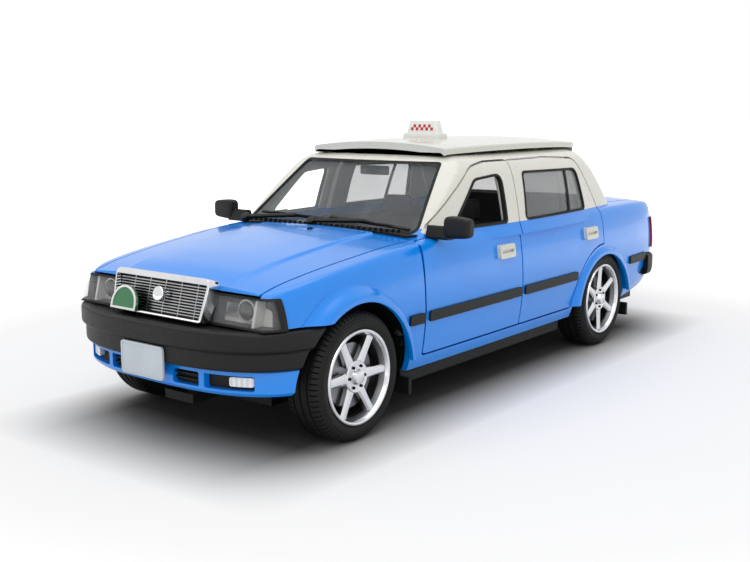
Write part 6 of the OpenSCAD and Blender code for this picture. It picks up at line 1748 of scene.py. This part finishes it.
class TAXI_OT_cabin(bpy.types.Operator):
    """Moulded seats, dashboard, inner mirror and steering wheel"""
    bl_idname = "taxi.cabin"
    bl_label = "Cabin"

    def execute(self, context):
        seat = seat_form(SEAT_X, SEAT_HALF, FRONT_SEAT_Y, TUB_TOP_Z, SEAT_LEN, CUSHION_H, SEAT_BACK_H, SEAT_RAKE)
        rest = headrest(SEAT_X, FRONT_SEAT_Y + SEAT_LEN + SEAT_RAKE, TUB_TOP_Z + SEAT_BACK_H)
        piece("seats_front", "body", pair(seat | rest), ("seat_vinyl",), ("front_seats",))
        bench = seat_form(0, REAR_SEAT_HALF, REAR_SEAT_Y, REAR_SEAT_Z, REAR_SEAT_LEN, REAR_CUSHION_H, REAR_BACK_H,
                          SEAT_RAKE / 2)
        piece("seat_rear", "body", bench, ("seat_vinyl",), ("rear_seat",))
        piece("dash", "body", dash_form(), ("trim_satin",), ("dashboard",))
        piece("inner_mirror", "body", inner_mirror(), ("trim_satin",))
        piece("steering", "body", steering(), ("trim_satin",), ("steering_wheel",))
        return {"FINISHED"}


class TAXI_OT_running(bpy.types.Operator):
    """Chassis pan, and finishes of the tub, hinges, axles and motor"""
    bl_idname = "taxi.running"
    bl_label = "Running gear"

    def execute(self, context):
        piece("chassis_pan", "body", chassis_pan(), ("chassis_plastic",), ("chassis",))
        for look, names in CARRIED.items():
            for name in names:
                NODES[name].data.materials.clear()
                NODES[name].data.materials.append(finish(look))
        return {"FINISHED"}


CAMERA_SPOT, CAMERA_YAW, CAMERA_PITCH, CAMERA_ROLL = (127.3, -175.1, 53.8), -38.165, -9.62, -.14
SENSOR, CLIP_START = 36, .005
LAMPS = {"key": ((.35, -.55, .6), .5), "top": ((-.05, 0, .75), .9)}
AIM = Vector((0, -.01, .02))


class TAXI_OT_stage(bpy.types.Operator):
    """Floor, soft light and the camera"""
    bl_idname = "taxi.stage"
    bl_label = "Stage"

    def execute(self, context):
        scene, stage = context.scene, context.scene.taxi_stage
        scene.view_settings.view_transform = "Standard"
        half = stage.floor / 2
        mesh = bpy.data.meshes.new("floor")
        mesh.from_pydata([(-half, -half, 0), (half, -half, 0), (half, half, 0), (-half, half, 0)], [], [(0, 1, 2, 3)])
        mesh.materials.append(floor_finish())
        floor = bpy.data.objects.new("floor", mesh)
        scene.collection.objects.link(floor)
        for name, (spot, size) in LAMPS.items():
            lamp = bpy.data.lights.new(name, "AREA")
            lamp.shape, lamp.size, lamp.energy = "DISK", size, getattr(stage, name)
            obj = bpy.data.objects.new(name, lamp)
            obj.location = spot
            obj.rotation_euler = (AIM - Vector(spot)).to_track_quat("-Z", "Y").to_euler()
            scene.collection.objects.link(obj)
        white_world(scene, stage.fill)
        view = bpy.data.cameras.new("camera")
        view.lens, view.sensor_width, view.sensor_fit, view.clip_start = stage.lens, SENSOR, "HORIZONTAL", CLIP_START
        camera = bpy.data.objects.new("camera", view)
        yaw, pitch = math.radians(CAMERA_YAW), math.radians(CAMERA_PITCH)
        ahead = Vector((math.cos(pitch) * math.sin(yaw), math.cos(pitch) * math.cos(yaw), math.sin(pitch)))
        turn = ahead.to_track_quat("-Z", "Y").to_matrix().to_4x4()
        camera.matrix_world = (Matrix.Translation(Vector(CAMERA_SPOT) * MM) @ turn
                               @ Matrix.Rotation(math.radians(CAMERA_ROLL), 4, "Z"))
        scene.collection.objects.link(camera)
        scene.camera = camera
        return {"FINISHED"}


SEEN_RAYS = ("Is Camera Ray", "Is Glossy Ray", "Is Transmission Ray")


def seen_rays(f):
    """1 for what the camera, a mirror or a pane shows."""
    rays = f.tree.nodes.new("ShaderNodeLightPath").outputs
    return f.above(sum(Value(f, rays[name]) for name in SEEN_RAYS), 0, 1)


FLOOR_WHITE, FLOOR_NEAR, FLOOR_FAR, FLOOR_GRAIN, GRAIN_TONE = .93, .1, .34, (40, 3), 1.02
# Painted shadow under the toy: the share of the floor's colour left there, and where it starts and where it is full,
# across and along, in metres
PAINTED_SHADOW_TONE, PAINTED_SHADOW_X, PAINTED_SHADOW_Y = .1, (.036, .02), (.084, .058)


def floor_finish():
    """Pale matte floor, lifted to white where it is seen, with the toy's shadow kept and a painted shadow darkening its
    colour under the toy.
    """
    f = Finish("studio_floor", {"Roughness": .9, "Specular IOR Level": .1, "Emission Strength": 1.0})
    pale = (FLOOR_WHITE, FLOOR_WHITE, FLOOR_WHITE, 1)
    distance = f.node("ShaderNodeVectorMath", {"operation": "LENGTH"}, {0: f.place}, "Value")
    glow = f.blend(seen_rays(f) * f.above(distance, FLOOR_NEAR, FLOOR_FAR), (0, 0, 0, 1), (1, 1, 1, 1))
    # Painted shadow: a box under the toy where the floor's colour is darkened
    shade = 1.0
    for axis, (edge, core) in (("X", PAINTED_SHADOW_X), ("Y", PAINTED_SHADOW_Y)):
        reach = f.node("ShaderNodeSeparateXYZ", {}, {0: f.place}, axis)
        shade = f.above(f.node("ShaderNodeMath", {"operation": "ABSOLUTE"}, {0: reach}), edge, core) * shade
    paper = f.blend(f.noise(*FLOOR_GRAIN), pale, tone(pale, GRAIN_TONE))
    f.feed({"Base Color": f.blend(shade, paper, tone(pale, PAINTED_SHADOW_TONE)), "Emission Color": glow})
    return f.material


def white_world(scene, fill):
    """White where it is seen, a lower light on the toy."""
    world = bpy.data.worlds.new("studio")
    world.use_nodes = True
    scene.world = world
    nodes, links = world.node_tree.nodes, world.node_tree.links
    back = nodes["Background"]
    back.inputs["Color"].default_value = (1, 1, 1, 1)
    rays = nodes.new("ShaderNodeLightPath")
    total = rays.outputs[SEEN_RAYS[0]]
    for name in SEEN_RAYS[1:]:
        step = nodes.new("ShaderNodeMath")
        step.operation, step.use_clamp = "ADD", True
        links.new(total, step.inputs[0])
        links.new(rays.outputs[name], step.inputs[1])
        total = step.outputs[0]
    level = nodes.new("ShaderNodeMapRange")
    level.inputs["To Min"].default_value = fill
    links.new(total, level.inputs["Value"])
    links.new(level.outputs["Result"], back.inputs["Strength"])


OPERATORS = (TAXI_OT_shell, TAXI_OT_lids, TAXI_OT_doors, TAXI_OT_glazing, TAXI_OT_roof, TAXI_OT_bumpers,
             TAXI_OT_grille, TAXI_OT_lamps, TAXI_OT_plates, TAXI_OT_mirrors, TAXI_OT_cowl, TAXI_OT_strips,
             TAXI_OT_wheels, TAXI_OT_cabin, TAXI_OT_running, TAXI_OT_stage)


class TAXI_PT_panel(bpy.types.Panel):
    """Lists the toy's pieces, colours and sizes"""
    bl_idname = "TAXI_PT_panel"
    bl_label = "Toy Taxi"
    bl_space_type = "VIEW_3D"
    bl_region_type = "UI"
    bl_category = "Toy Taxi"

    def draw(self, context):
        column = self.layout.column()
        for operator in OPERATORS:
            column.operator(operator.bl_idname)
        for group in (context.scene.taxi_colours, context.scene.taxi_sizes, context.scene.taxi_stage):
            for name in group.bl_rna.properties.keys():
                if name not in ("rna_type", "name"):
                    column.prop(group, name)


GROUPS = {"taxi_colours": TaxiColours, "taxi_sizes": TaxiSizes, "taxi_stage": TaxiStage}
CLASSES = (*GROUPS.values(), *OPERATORS, TAXI_PT_panel)


def register():
    for each in CLASSES:
        bpy.utils.register_class(each)
    for name, group in GROUPS.items():
        setattr(bpy.types.Scene, name, bpy.props.PointerProperty(type=group))


def unregister():
    for name in GROUPS:
        delattr(bpy.types.Scene, name)
    for each in reversed(CLASSES):
        bpy.utils.unregister_class(each)


def main():
    register()
    for operator in OPERATORS:
        group, name = operator.bl_idname.split(".")
        getattr(getattr(bpy.ops, group), name)()


if __name__ == "__main__":
    main()
